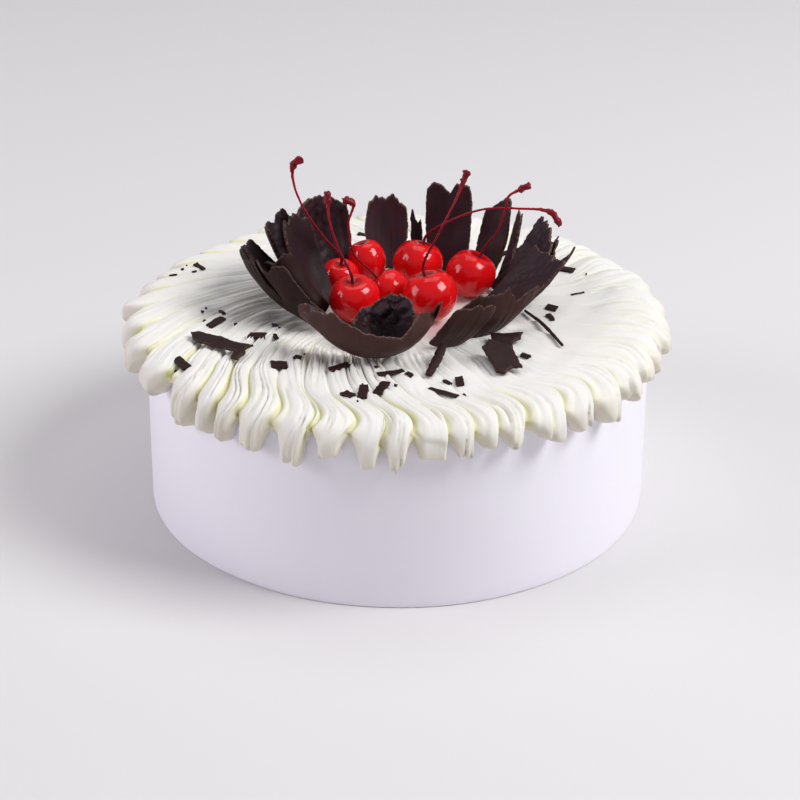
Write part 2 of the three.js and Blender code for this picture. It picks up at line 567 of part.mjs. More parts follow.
const SLIVER_THICKNESS = 1.2;
const SLIVER_STEPS = 8;

function sliverGeometry(sliver) {
  const path = new THREE.CatmullRomCurve3(sliver.way.map((point) => new THREE.Vector3(...point)));
  const rings = [];
  for (let i = 0; i <= SLIVER_STEPS; i += 1) {
    const share = i / SLIVER_STEPS;
    const middle = path.getPointAt(share);
    const along = path.getTangentAt(share);
    const side = new THREE.Vector3(along.y, -along.x, 0).normalize();
    const up = side.clone().cross(along).normalize();
    const half = (sliver.width / 4) * (1 + Math.sin(Math.PI * (0.1 + 0.75 * share)));
    rings.push([[-1, 1], [1, 1], [1, -1], [-1, -1]].map(([a, b]) => middle.clone()
      .addScaledVector(side, a * half).addScaledVector(up, (b * SLIVER_THICKNESS) / 2).toArray()));
  }
  return skin(rings, path.getPointAt(0).toArray(), path.getPointAt(1).toArray());
}

// ---------------------------------------------------------------- materials and assembly

const materials = {
  cake: { color: '#f1edf3', roughness: 0.5, metalness: 0 },
  cream: { color: '#f4f3e6', roughness: 0.55, metalness: 0 },
  cherry: { color: '#c8141c', roughness: 0.12, metalness: 0 },
  stem: { color: '#6e1420', roughness: 0.45, metalness: 0 },
  chocolate: { color: '#35241f', roughness: 0.5, metalness: 0 },
};

function part(name, geometry, finish) {
  const mesh = new THREE.Mesh(geometry, new THREE.MeshStandardMaterial(materials[finish]));
  mesh.name = name;
  return mesh;
}

// Each petal gives way to those already standing, so nested petals touch without crossing.
function petalMeshes() {
  const meshes = [];
  const standing = [];
  for (const petal of PETALS) {
    let solid = toManifold(petalGeometry(petal, THICKNESS, 0));
    for (const other of standing) {
      const room = toManifold(petalGeometry(other, THICKNESS + 2 * GAP, ROOM_MARGIN));
      solid = solid.subtract(room);
    }
    meshes.push(part(`petal_${petal.name}`, fromManifold(largestBody(solid)), 'chocolate'));
    standing.push(petal);
  }
  return meshes;
}

const cake = new THREE.Group();
cake.add(part('cake_body', cakeBody(), 'cake'));
cake.add(part('piped_cream', pipedCream(), 'cream'));
for (const cherry of CHERRIES) {
  const mesh = part(`cherry_${cherry.name}`, cherryGeometry(cherry), 'cherry');
  mesh.position.copy(cherryCentre(cherry));
  cake.add(mesh);
}
for (const stem of STEMS) {
  cake.add(part(`stem_${stem.cherry}`, stemGeometry(stem), 'stem'));
}
petalMeshes().forEach((mesh) => cake.add(mesh));
for (const flake of FLAKES) {
  cake.add(part(flake.name, flakeGeometry(flake), 'chocolate'));
}
for (const sliver of SLIVERS) {
  cake.add(part(sliver.name, sliverGeometry(sliver), 'chocolate'));
}

export default cake;
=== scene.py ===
"""Dresses the frame of a black forest cake: a smooth white coat, a cap of piped cream, a flower of
curled dark chocolate shavings, cherries on their stems and the loose shavings round them.

Lengths in the tables below are millimetres in the frame: +Z up, the show side faces -Y.
"""

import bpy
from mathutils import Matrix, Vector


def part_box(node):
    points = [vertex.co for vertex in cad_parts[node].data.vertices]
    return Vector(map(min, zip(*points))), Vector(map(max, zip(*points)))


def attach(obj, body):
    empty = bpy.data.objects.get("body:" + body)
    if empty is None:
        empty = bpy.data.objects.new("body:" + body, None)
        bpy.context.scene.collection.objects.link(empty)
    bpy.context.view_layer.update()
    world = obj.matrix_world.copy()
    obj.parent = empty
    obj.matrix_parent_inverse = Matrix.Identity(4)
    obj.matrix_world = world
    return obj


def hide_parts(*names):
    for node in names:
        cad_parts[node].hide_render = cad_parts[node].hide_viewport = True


bl_info = {
    "name": "Black Forest Cake",
    "version": (1, 0, 0),
    "blender": (4, 5, 0),
    "location": "View3D > Sidebar > Cake",
    "description": "Pipes the cream, sets the chocolate flower and adds the cherries of a cake",
    "category": "Object",
}

import math

import bmesh
import bpy
import numpy as np
from mathutils import Matrix, Quaternion, Vector
from mathutils.bvhtree import BVHTree
from mathutils.geometry import delaunay_2d_cdt

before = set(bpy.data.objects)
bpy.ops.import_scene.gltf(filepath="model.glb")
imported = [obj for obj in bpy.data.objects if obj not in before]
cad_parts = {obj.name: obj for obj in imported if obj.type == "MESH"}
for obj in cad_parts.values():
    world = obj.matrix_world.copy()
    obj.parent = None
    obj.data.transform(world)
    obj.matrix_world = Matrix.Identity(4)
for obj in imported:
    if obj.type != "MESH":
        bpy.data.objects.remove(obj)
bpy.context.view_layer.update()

MM = 0.001

# ------------------------------------------------------------------ sizes shared with the frame

CAKE_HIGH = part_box("cake_body")[1]
CAKE_RADIUS = CAKE_HIGH.x / MM
CAKE_HEIGHT = CAKE_HIGH.z / MM
GAP = 0.3                     # air between pieces that rest on each other

CREAM_TOP = 75.4              # mean height of the piped top
CREAM_BED_RADIUS = 46.0       # level cream that the flower stands on
CREAM_BED_HEIGHT = 75.0
CREAM_SEED = 11
FOOT_Z = CREAM_BED_HEIGHT + GAP

# Where each piped lobe of the show side hangs (degrees round the cake) and how low it reaches.
SHOWN_TIPS = [
    (-176, 63), (-164, 64), (-152, 65), (-140, 59), (-134, 61), (-128, 62), (-122, 60), (-111, 60),
    (-104, 64), (-95, 60), (-90, 61), (-82, 63), (-76, 65.5), (-71, 66.5), (-66, 66), (-56, 66.5),
    (-48, 65.5), (-40, 63.5), (-32, 67), (-24, 66), (-17, 65), (-9, 66),
]
BACK_STROKES = 22             # lobes spread over the rest of the rim
BACK_STRAY = 0.45
TIP_LOW = 60.0
TIP_HIGH = 66.5
FLAP_STROKE = -82             # this broad lobe ends in a squared flap
FOLD_DEPTH = 1.3              # the flap steps back by this, at this share of the way over the rim
FOLD_PLACE = 0.62
FOLD_SLANT = 0.08
FOLD_WIDTH = 0.14

# A fade is a pair: where something starts and how far it then takes to be there in full. It goes
# by radius on the top, by hang over the rim (0 at the shoulder, 1 at the nose, 2 at the hem) or by
# side (0 on the crest of a stroke, 1 in the valley beside it).

# By angle round the cake: how far a stroke is swept sideways between the flower and the rim, in
# degrees, and how high its ridge stands near the flower.
SWEEP = [(-174, 62), (-160, 58), (-148, 52), (-135, 42), (-105, 30), (-84, 24), (-70, 7), (-58, -6),
         (-38, -7), (0, -14), (30, -4), (60, 12), (90, 28), (120, 44), (150, 59)]
RIDGES = [(-150, 2.2), (-90, 2.2), (-60, 1.0), (-20, 0.7), (30, 0.9), (90, 1.6), (160, 2.2)]
SWEEP_START = 41.0            # the sweep grows inwards from the end radius to the start radius
SWEEP_END = 106.0
SWEEP_BEND = 1.5
RIDGE_FADE = (CREAM_BED_RADIUS, 8.0)
# How high the ridges stand at the rim, and how much the top rises towards the shoulder.
RIM_RELIEFS = [(-176, 2.2), (-150, 3.2), (-90, 3.6), (-60, 2.8), (-20, 2.2), (40, 2.2), (110, 2.2),
               (150, 1.4)]
RIM_FADE = (74.0, 18.0)
SWELLS = [(-176, 2.4), (-140, 2.4), (-90, 2.0), (-30, 2.0), (20, 2.8), (90, 2.2), (150, 1.2)]
SWELL_FADE = (68.0, 26.0)
MEAN_DOME = 0.6               # the mean height of a stroke's dome, as a share
SHOULDER_LOBE = 92.0          # the top ends at this radius on a crest, and at this in a valley
SHOULDER_VALLEY = 88.5
# How round the fall over the rim is: 1 is an ellipse, less is fuller.
FULLNESS = [(-176, 0.66), (-140, 0.74), (-90, 0.86), (-30, 0.8), (20, 0.7), (90, 0.74), (150, 0.76)]
# How far a stroke swings past its tip's angle at the shoulder before it comes back, in degrees.
SWING = [(-176, 0.6), (-140, 1.2), (-120, 2.2), (-100, 3.2), (-76, 1.8), (-40, 3.0), (20, 2.6),
         (150, 0.8)]
SWING_FADE = (72.0, 24.0)
WANDER = 0.35                 # strokes also wander by this many degrees
WANDER_FADE = (48, 20)
# How far out the lobes reach.
REACHES = [(-176, 110.6), (-155, 109.2), (-130, 108.3), (110, 108.3), (160, 109.4)]
REACH_VALLEY = 101.7
REACH_SPREAD = 1.2            # the lobes' reach varies by this much either way
NOSE = 3.2                    # how far the rounded lower end of a lobe curls down and in
NOTCH = 9.5                   # the notch between two lobes lies this much above their ends
NOTCH_HIGHEST = 70.7
FULL_NOTCH_GAP = 8.0          # lobes closer than this, in degrees, have a lower notch
HEM_RADIUS = CAKE_RADIUS + 1.0
HEM_STEP = 0.6                # from the hem up to the edge of the hidden underside

# The section of a stroke; the second number of each pair is the squared flap's. A lobe keeps its
# full reach and its lowest edge up to the starts, and falls back to the valley and the notch from
# there.
DOME_POWERS = (2.2, 5.0)
DOME_ROUND = 0.6
REACH_STARTS = (0.24, 0.6)
REACH_SPREADS = (0.74, 0.4)
NOTCH_STARTS = (0.28, 0.7)
NOTCH_SPREADS = (0.58, 0.3)
BED_RINGS = (0.14, 0.26)      # rings of points in the flower, as shares of the shoulder's radius
TOP_FIRST_RING = 0.37
HIDDEN_STEP = 1.35            # columns stand this much further apart at the back
FEWEST_COLUMNS = 8            # for each stroke

# What the solids leave out, by angle: where the valley lies between two crests, as a share of the
# way; the height of the ribs that the star nozzle leaves along a stroke, on the top and on the
# lobes; how much each stroke lies over the next one, like a shingle; and how much of the painted
# yellow green shade of the valleys shows on the top.
VALLEY_PLACE = [(-176, 0.5), (-100, 0.5), (-60, 0.34), (-10, 0.32), (60, 0.44), (150, 0.5)]
TOP_RIBS = [(-176, 0.95), (-150, 1.1), (-100, 1.3), (-80, 1.0), (-68, 0.4), (-50, 0.2), (-10, 0.12),
            (40, 0.14), (90, 0.5), (150, 0.8)]
LOBE_RIBS = [(-176, 0.9), (-130, 1.8), (-90, 2.2), (-60, 2.0), (-20, 1.6), (60, 1.2), (120, 1.2)]
SHINGLE = [(-176, 0.25), (-100, 0.3), (-50, 0.7), (0, 0.6), (90, 0.3)]
PAINTED_VALLEY_SHADES = [(-176, 0.45), (-130, 0.8), (-90, 1.0), (-40, 0.9), (20, 0.6), (90, 0.45),
                (150, 0.4)]
RIM_GIRTH = math.tau * 104 / 360  # millimetres round the rim for each degree
RIB_PITCH = 3.2               # between ribs, at the rim
RIB_STRAY = 0.22              # how far ribs stray sideways, and how unevenly wide they are
RIB_BUNCHING = 0.4
RIB_STRENGTHS = (0.35, 1.5)   # lowest and highest, from rib to rib and then along one
RIB_CHANGES = (0.45, 1.2)
RIB_MEAN = 0.68               # the mean height of a rib's round section, as a share
RIB_NOTCH = 1.9               # how much higher a lobe ends between two ribs of full height
RIB_NOTCH_RANGE = (0.6, 1.4)  # and least and most, as shares of that
RIB_STAGGER = 3.6             # how unevenly high the ribs end
RIB_STAGGER_MEAN = 0.6
RIB_STAGGER_FADE = (0.35, 0.3)
TOP_RIB_FADE = (30, 9)
BED_RIB_GAIN = 2.7            # the grooves are this much deeper by the flower
BED_RIB_FADE = (46, 26)
LOBE_RIB_FADE = (70, 20)
NOSE_RIB_LOSS = 0.8           # under the nose the ribs lose this share, and on the flap the other
NOSE_RIB_FADE = (1.05, 0.6)
FLAP_RIB_LOSS = 0.9
FLAP_RIB_FADE = (0.15, 0.2)
RAISED_FADE = (44, 14)        # shingling and unevenness start by the flower and end over the rim
RAISED_END = (0.5, 0.5)
PRESSED_HEIGHT = 0.9          # the swell at the foot of the chocolate, and how wide it is
PRESSED_WIDTH = 1.7
PRESSED_REACH = 14            # no foot stands further outside the bed than this
HANGING_FADE = (0.35, 0.6)    # what hangs over the rim, for the ragged ends of the ribs
# Painted shade in the valleys: where it starts by side and by radius, and how it grows from the top
# to the hanging lobes.
PAINTED_SHADE_SIDE = (0.55, 0.45)
PAINTED_SHADE_FADE = (60, 30)
PAINTED_SHADE_TOP_FADE = (0, 0.4)
PAINTED_SHADE_UNDER = 1.2            # past this hang the valleys count for half
# Painted glow: the share of the notches that get it, and where on them.
GLOW_SHARE = 0.3              # of the notches glow
GLOW_SIDE = (0.6, 0.3)
GLOW_FADE = (0.55, 0.25)
GLOW_END = (1.1, 0.3)
# The lobes get a warm painted shade towards their lower ends from this hang on.
PAINTED_TIP_SHADE_FADE = (0.35, 0.9)

SHAVING_THICKNESS = 1.5

# ------------------------------------------------------------------ small helpers

# Uneven values come from a sine of large numbers. Each use adds to a piece's seed a number of its
# own, so that none repeats another.
HASH_STEP = 12.9898
HASH_SEED_STEP = 78.233
HASH_SCALE = 43758.5453


def uneven(index, seed):
    """Repeatable uneven value between 0 and 1 for a whole number and a seed."""
    wave = math.sin(index * HASH_STEP + seed * HASH_SEED_STEP) * HASH_SCALE
    return wave - math.floor(wave)


def uneven_each(values):
    """Repeatable uneven values between 0 and 1 for an array."""
    return np.mod(np.sin(values) * HASH_SCALE, 1.0)


def lerp(a, b, share):
    return a + (b - a) * share


def smooth(x):
    x = np.clip(x, 0.0, 1.0)
    return x * x * (3 - 2 * x)


def fade(x, start, spread):
    """0 up to the start, then smoothly up to 1 over the spread."""
    return smooth((x - start) / spread)


def around(pairs, degrees):
    """Smooth value at each angle, from a short list of (angle, value) that wraps at 360 degrees."""
    starts = np.array([pair[0] for pair in pairs] + [pairs[0][0] + 360.0])
    values = np.array([pair[1] for pair in pairs] + [pairs[0][1]], float)
    turn = np.mod(np.asarray(degrees, float) - starts[0], 360.0) + starts[0]
    i = np.clip(np.searchsorted(starts, turn, side="right") - 1, 0, len(pairs) - 1)
    share = smooth((turn - starts[i]) / (starts[i + 1] - starts[i]))
    return lerp(values[i], values[i + 1], share)


def ripple(x, y, size, seed):
    """Smooth uneven surface between about -1 and 1, whose swells are about size across."""
    total = np.zeros(np.broadcast(x, y).shape)
    for i in range(6):
        heading = math.tau * uneven(i, seed)
        pace = math.tau / size * lerp(0.5, 1.3, uneven(i, seed + 1))
        shift = math.tau * uneven(i, seed + 2)
        total = total + np.sin(pace * (x * math.cos(heading) + y * math.sin(heading)) + shift)
    return total / 2.6


def linear(hex_colour):
    """An sRGB hex colour as linear red, green and blue."""
    digits = hex_colour.lstrip("#")
    shares = [int(digits[i:i + 2], 16) / 255 for i in (0, 2, 4)]
    return [c / 12.92 if c <= 0.04045 else ((c + 0.055) / 1.055) ** 2.4 for c in shares]


def rgba(colour):
    """A colour for a socket, from sRGB hex or from a linear colour of the settings."""
    return (*(linear(colour) if isinstance(colour, str) else colour), 1.0)


def in_use(sockets, name=None):
    """The first socket that a node's settings leave in use, or the first such one of that name."""
    return next(socket for socket in sockets if socket.enabled and name in (None, socket.name))


def plug(tree, value, socket):
    """Links an input to a socket or to a node's first output, or sets it to a value or a colour."""
    if isinstance(value, bpy.types.Node):
        value = in_use(value.outputs)
    if isinstance(value, bpy.types.NodeSocket):
        tree.links.new(value, socket)
    elif socket.type == "RGBA":
        socket.default_value = rgba(value)
    else:
        socket.default_value = value


def add(tree, kind, inputs=None, **settings):
    """Adds a node. Settings are its properties. What is plugged into an input goes by the input's
    name, or by its number where several have one name."""
    made = tree.nodes.new(kind)
    for name, value in settings.items():
        setattr(made, name, value)
    for key, value in (inputs or {}).items():
        plug(tree, value, made.inputs[key] if isinstance(key, int) else in_use(made.inputs, key))
    return made


def link_piece(name, data):
    """An object for a mesh, a curve, a light or a camera."""
    piece = bpy.data.objects.new(name, data)
    bpy.context.scene.collection.objects.link(piece)
    return piece


def store_vectors(mesh, key, values):
    layer = mesh.attributes.new(key, "FLOAT_VECTOR", "POINT")
    layer.data.foreach_set("vector", np.asarray(values, np.float32).ravel())


def mesh_object(name, points, faces, attributes=None, uv=None, is_smooth=True):
    """A mesh from points in millimetres. attributes are floats and uv is pairs at the points."""
    mesh = bpy.data.meshes.new(name)
    mesh.from_pydata(np.asarray(points, float) * MM, [], faces)
    for key, values in (attributes or {}).items():
        layer = mesh.attributes.new(key, "FLOAT", "POINT")
        layer.data.foreach_set("value", np.asarray(values, np.float32).ravel())
    if uv is not None:
        corners = np.zeros(len(mesh.loops), np.int32)
        mesh.loops.foreach_get("vertex_index", corners)
        layer = mesh.uv_layers.new(name="grain")
        layer.data.foreach_set("uv", np.asarray(uv, np.float32)[corners].ravel())
    mesh.polygons.foreach_set("use_smooth", [is_smooth] * len(mesh.polygons))
    mesh.update()
    return link_piece(name, mesh)


def tube_faces(rings, sides, rising=False):
    """The faces of a closed tube of rings of points, with a point at both ends after the last ring.
    rising is for rings that climb and run anticlockwise, seen from above."""
    faces = []
    for r in range(rings - 1):
        for k in range(sides):
            a, b = r * sides + k, r * sides + (k + 1) % sides
            faces.append([a, a + sides, b + sides, b])
    end, first = (rings - 1) * sides, rings * sides
    for k in range(sides):
        following = (k + 1) % sides
        faces.append([first, k, following])
        faces.append([first + 1, end + following, end + k])
    return [[face[0], *reversed(face[1:])] for face in faces] if rising else faces


def fit_piece(piece, nodes, material=None):
    """The finished piece takes the place of its solids."""
    if material is not None:
        piece.data.materials.clear()
        piece.data.materials.append(material)
    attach(piece, "root")
    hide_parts(*nodes)


def settle(piece):
    """Puts what a piece's modifiers make of it in its place, as a plain mesh."""
    view = bpy.context.evaluated_depsgraph_get()
    view.update()
    mesh = bpy.data.meshes.new_from_object(piece.evaluated_get(view), depsgraph=view)
    piece.modifiers.clear()
    name = piece.name
    bpy.data.objects.remove(piece)
    mesh.name = name
    return link_piece(name, mesh)


def grow(piece, tree, values, material):
    """Runs a Geometry Nodes tree on a piece and keeps the result as a plain mesh."""
    growth = piece.modifiers.new("growth", "NODES")
    growth.node_group = tree
    sockets = {item.name: item.identifier for item in tree.interface.items_tree
               if item.item_type == "SOCKET" and item.in_out == "INPUT"}
    for name, value in {**values, "Material": material}.items():
        growth[sockets[name]] = value
    return settle(piece)


def tree_with(name, inputs):
    """A Geometry Nodes tree with named inputs (name, default) and a material, and its two ends."""
    tree = bpy.data.node_groups.new(name, "GeometryNodeTree")
    for way in ("INPUT", "OUTPUT"):
        tree.interface.new_socket("Geometry", in_out=way, socket_type="NodeSocketGeometry")
    for label, default in inputs:
        socket = tree.interface.new_socket(label, in_out="INPUT", socket_type="NodeSocketFloat")
        socket.default_value = default
    tree.interface.new_socket("Material", in_out="INPUT", socket_type="NodeSocketMaterial")
    return tree, add(tree, "NodeGroupInput"), add(tree, "NodeGroupOutput")


def close_tree(tree, source, sink, geometry):
    """Ends a tree in Realize Instances and Set Material."""
    real = add(tree, "GeometryNodeRealizeInstances", {"Geometry": geometry})
    painted = add(tree, "GeometryNodeSetMaterial", {
        "Geometry": real,
        "Material": source.outputs["Material"],
    })
    plug(tree, painted, sink.inputs["Geometry"])


# ------------------------------------------------------------------ materials


def shader(name, settings):
    """A material with one Principled surface whose uniform values are set on its own sockets."""
    material = bpy.data.materials.new(name)
    material.use_nodes = True
    tree = material.node_tree
    surface = tree.nodes["Principled BSDF"]
    for socket, value in settings.items():
        plug(tree, value, surface.inputs[socket])
    return material, tree, surface


def colour_stops(ramp, stops):
    """Gives a ramp of two colours these stops (position, colour)."""
    for element, (position, colour) in zip(ramp.elements, (stops[0], stops[-1])):
        element.position = position
        element.color = rgba(colour)
    for position, colour in stops[1:-1]:
        ramp.elements.new(position).color = rgba(colour)


def whipped_cream(colours):
    """Sweetened whipped cream, piped through a star nozzle: bright, soft edged and satin and a
    little see-through. Its deep folds and valleys get a painted shade of pale yellow green, the
    lobes a warm painted shade towards their tips and a few notches a painted glow; fine drag lines
    run along each stroke, and it is pink where cherry juice has soaked in."""
    material, tree, surface = shader("whipped_cream_piped", {
        "Roughness": 0.46,
        "IOR": 1.38,
        "Specular IOR Level": 0.36,
        "Subsurface Weight": 0.2,
        "Subsurface Scale": 1.4 * MM,
        "Subsurface Radius": (1.0, 0.95, 0.8),
    })
    place = add(tree, "ShaderNodeTexCoord").outputs["Object"]
    # Masks of painted light: the shade of the creases and valleys, the shade towards the lobes'
    # tips and the glow of a few notches.
    painted_fold_shade, tip, glow = (add(tree, "ShaderNodeAttribute", attribute_name=key).outputs["Fac"]
                         for key in ("painted_fold_shade", "tip", "glow"))
    # Painted shade: the creases and valleys go from the cream's colour to a darker pale yellow
    # green.
    depth = add(tree, "ShaderNodeValToRGB", {"Fac": painted_fold_shade})
    colour_stops(depth.color_ramp, [(0.12, colours.cream), (0.6, "#eeeee2"), (1.0, "#e3e2bd")])
    # Broad, barely visible patches, about 20 mm across, and the froth: tiny air bubbles and
    # roughness of the whipped fat, 1.2 mm.
    patches, froth = (add(tree, "ShaderNodeTexNoise", {
        "Vector": place,
        "Scale": 1 / (size * MM),
        "Detail": detail,
    }) for size, detail in ((20, 2.0), (1.2, 3.0)))
    lit = add(tree, "ShaderNodeMath", {0: glow, 1: 0.75}, operation="MULTIPLY")
    # Cherry juice in the cream at the foot of the right front cherry.
    pool = add(tree, "ShaderNodeMapping", {
        "Vector": place,
        "Location": (-17.5 * MM, 14 * MM, -CREAM_TOP * MM),
    }, vector_type="POINT")
    reach = add(tree, "ShaderNodeVectorMath", {0: pool}, operation="LENGTH")
    soaked = add(tree, "ShaderNodeMapRange", {
        "Value": reach,
        "From Min": 3 * MM,
        "From Max": 12 * MM,
        "To Min": 0.6,
        "To Max": 0.0,
    })
    # The patches, a warm painted shade on the lobes towards their tips, a painted glow in the few
    # notches where light would come through the thin cream, and the juice.
    colour = depth
    for share, tint, blend in ((patches, "#faf7f3", "MULTIPLY"), (tip, "#f0ece0", "MULTIPLY"),
                               (lit, "#cdd07a", "MIX"), (soaked, "#e9b4ba", "MIX")):
        colour = add(tree, "ShaderNodeMix", {"Factor": share, "A": colour, "B": tint},
                     data_type="RGBA", blend_type=blend)
    plug(tree, colour, surface.inputs["Base Color"])
    # Drag lines: 0.9 mm apart across the stroke and 40 mm long. The grain map is in millimetres.
    grain = add(tree, "ShaderNodeUVMap", uv_map="grain")
    drawn = add(tree, "ShaderNodeMapping", {"Vector": grain, "Scale": (1 / 0.9, 1 / 40, 1)})
    lines = add(tree, "ShaderNodeTexNoise", {"Vector": drawn, "Scale": 1.0, "Detail": 2.0})
    height = add(tree, "ShaderNodeMix", {"Factor": 0.22, "A": lines, "B": froth}, data_type="FLOAT")
    bump = add(tree, "ShaderNodeBump", {"Height": height, "Strength": 0.55, "Distance": 0.22 * MM})
    plug(tree, bump, surface.inputs["Normal"])
    return material


def smoothed_coat(colours):
    """The same cream drawn smooth round the side with a scraper: satin, almost without marks, and a
    little cooler than the piped cream."""
    material, tree, surface = shader("whipped_cream_smoothed", {
        "Roughness": 0.42,
        "IOR": 1.38,
        "Specular IOR Level": 0.32,
        "Subsurface Weight": 0.2,
        "Subsurface Scale": 2.0 * MM,
        "Subsurface Radius": (1.0, 0.95, 0.85),
    })
    place = add(tree, "ShaderNodeTexCoord").outputs["Object"]
    # Faint cloudiness, 35 mm across.
    clouds = add(tree, "ShaderNodeTexNoise", {
        "Vector": place,
        "Scale": 1 / (35 * MM),
        "Detail": 2.0,
    })
    tone = add(tree, "ShaderNodeMix", {"Factor": clouds, "A": colours.coat, "B": "#f2eef9"},
               data_type="RGBA")
    plug(tree, tone, surface.inputs["Base Color"])
    # Scraper marks run level round the side: 4 mm high and ten times as long.
    level = add(tree, "ShaderNodeMapping", {"Vector": place, "Scale": (0.1, 0.1, 1.0)})
    marks = add(tree, "ShaderNodeTexNoise", {"Vector": level, "Scale": 1 / (4 * MM), "Detail": 2.0})
    bump = add(tree, "ShaderNodeBump", {"Height": marks, "Strength": 0.35, "Distance": 0.12 * MM})
    plug(tree, bump, surface.inputs["Normal"])
    return material


def dark_chocolate(name, colours, grain_map=True):
    """Dark chocolate scraped off a block into curled shavings: a dull brown outer face with faint
    drawn lines, a smoother inner face whose sheen is painted as a cool violet, and a paler crumbly
    broken edge. With a grain map each shaving has the blade's lines and a painted shade and sheen
    of its own; without one it has the painted shade of what lies flat."""
    material, tree, surface = shader(name, {
        "IOR": 1.46,
        "Specular IOR Level": 0.22,
    })
    place = add(tree, "ShaderNodeTexCoord").outputs["Object"]
    inner, broken = (add(tree, "ShaderNodeAttribute", attribute_name=key).outputs["Fac"]
                     for key in ("inner", "broken"))
    # Bloom, 9 mm across, makes the outer face paler and duller in patches. Spots about 4 mm across
    # are redder, where the blade has rubbed the chocolate, and the broken edge shows paler crumbs
    # in places, about 0.8 mm across.
    bloom, rubbed, crumbs = (add(tree, "ShaderNodeTexNoise", {
        "Vector": place,
        "Scale": 1 / (size * MM),
        "Detail": detail,
    }) for size, detail in ((9, 4.0), (4, 4.0), (0.8, 2.0)))
    redness = add(tree, "ShaderNodeMapRange", {
        "Value": rubbed,
        "From Min": 0.46,
        "From Max": 0.68,
        "To Max": 0.6,
    })
    spots = add(tree, "ShaderNodeMapRange", {"Value": crumbs, "From Min": 0.42, "From Max": 0.62})
    patchy = add(tree, "ShaderNodeMath", {0: broken, 1: spots}, operation="MULTIPLY")
    colour = add(tree, "ShaderNodeMix", {
        "Factor": bloom,
        "A": colours.chocolate,
        "B": colours.chocolate_bloom,
    }, data_type="RGBA")
    # The inner face is painted a cool violet, a painted sheen.
    for share, tint in ((inner, colours.chocolate_inner_sheen), (redness, "#43201e"),
                        (patchy, "#72564a")):
        colour = add(tree, "ShaderNodeMix", {"Factor": share, "A": colour, "B": tint},
                     data_type="RGBA")
    # Painted shade and sheen: the colour is scaled by the piece's tone, read from it with a grain
    # map and else that of what lies flat.
    tone, height = FLAT_PIECE_SHADE, crumbs
    if grain_map:
        tone = add(tree, "ShaderNodeAttribute", attribute_name="tone").outputs["Fac"]
        # Drawn lines of the blade, 1.1 mm apart and 30 mm long.
        grain = add(tree, "ShaderNodeUVMap", uv_map="grain")
        drawn = add(tree, "ShaderNodeMapping", {"Vector": grain, "Scale": (1 / 1.1, 1 / 30, 1)})
        lines = add(tree, "ShaderNodeTexNoise", {"Vector": drawn, "Scale": 1.0, "Detail": 3.0})
        height = add(tree, "ShaderNodeMix", {"Factor": 0.35, "A": lines, "B": crumbs},
                     data_type="FLOAT")
    toned = add(tree, "ShaderNodeVectorMath", {0: colour, "Scale": tone}, operation="SCALE")
    plug(tree, toned, surface.inputs["Base Color"])
    dull = add(tree, "ShaderNodeMapRange", {
        "Value": bloom,
        "From Min": 0.3,
        "From Max": 0.7,
        "To Min": 0.42,
        "To Max": 0.6,
    })
    plug(tree, dull, surface.inputs["Roughness"])
    bump = add(tree, "ShaderNodeBump", {"Height": height, "Strength": 0.8, "Distance": 0.35 * MM})
    plug(tree, bump, surface.inputs["Normal"])
    return material


def candied_cherry(colours):
    """A cherry kept in syrup: translucent bright red flesh under a wet skin, with a painted shade
    of darker red in the dimple and slight dents that break up its highlights."""
    material, tree, surface = shader("candied_cherry_wet", {
        "Roughness": 0.16,
        "IOR": 1.42,
        "Specular IOR Level": 0.2,
        "Subsurface Weight": 0.45,
        "Subsurface Scale": 3.5 * MM,
        "Subsurface Radius": (1.0, 0.16, 0.1),
        "Coat Weight": 0.6,
        "Coat Roughness": 0.07,
        "Coat IOR": 1.45,
    })
    place = add(tree, "ShaderNodeTexCoord").outputs["Object"]
    dimple = add(tree, "ShaderNodeAttribute", attribute_name="dimple").outputs["Fac"]
    # The flesh is unevenly red and dented in patches about 6 mm across.
    flesh, dents = (add(tree, "ShaderNodeTexNoise", {
        "Vector": place,
        "Scale": 1 / (6 * MM),
        "Detail": detail,
    }) for detail in (3.0, 1.0))
    red = add(tree, "ShaderNodeMix", {"Factor": flesh, "A": colours.cherry, "B": "#c6080e"},
              data_type="RGBA")
    # Painted shade: darker red in the dimple.
    deep = add(tree, "ShaderNodeMix", {"Factor": dimple, "A": red, "B": "#8c0a0e"},
               data_type="RGBA")
    plug(tree, deep, surface.inputs["Base Color"])
    bump = add(tree, "ShaderNodeBump", {"Height": dents, "Strength": 0.3, "Distance": 0.22 * MM})
    for socket in ("Normal", "Coat Normal"):
        plug(tree, bump, surface.inputs[socket])
    return material


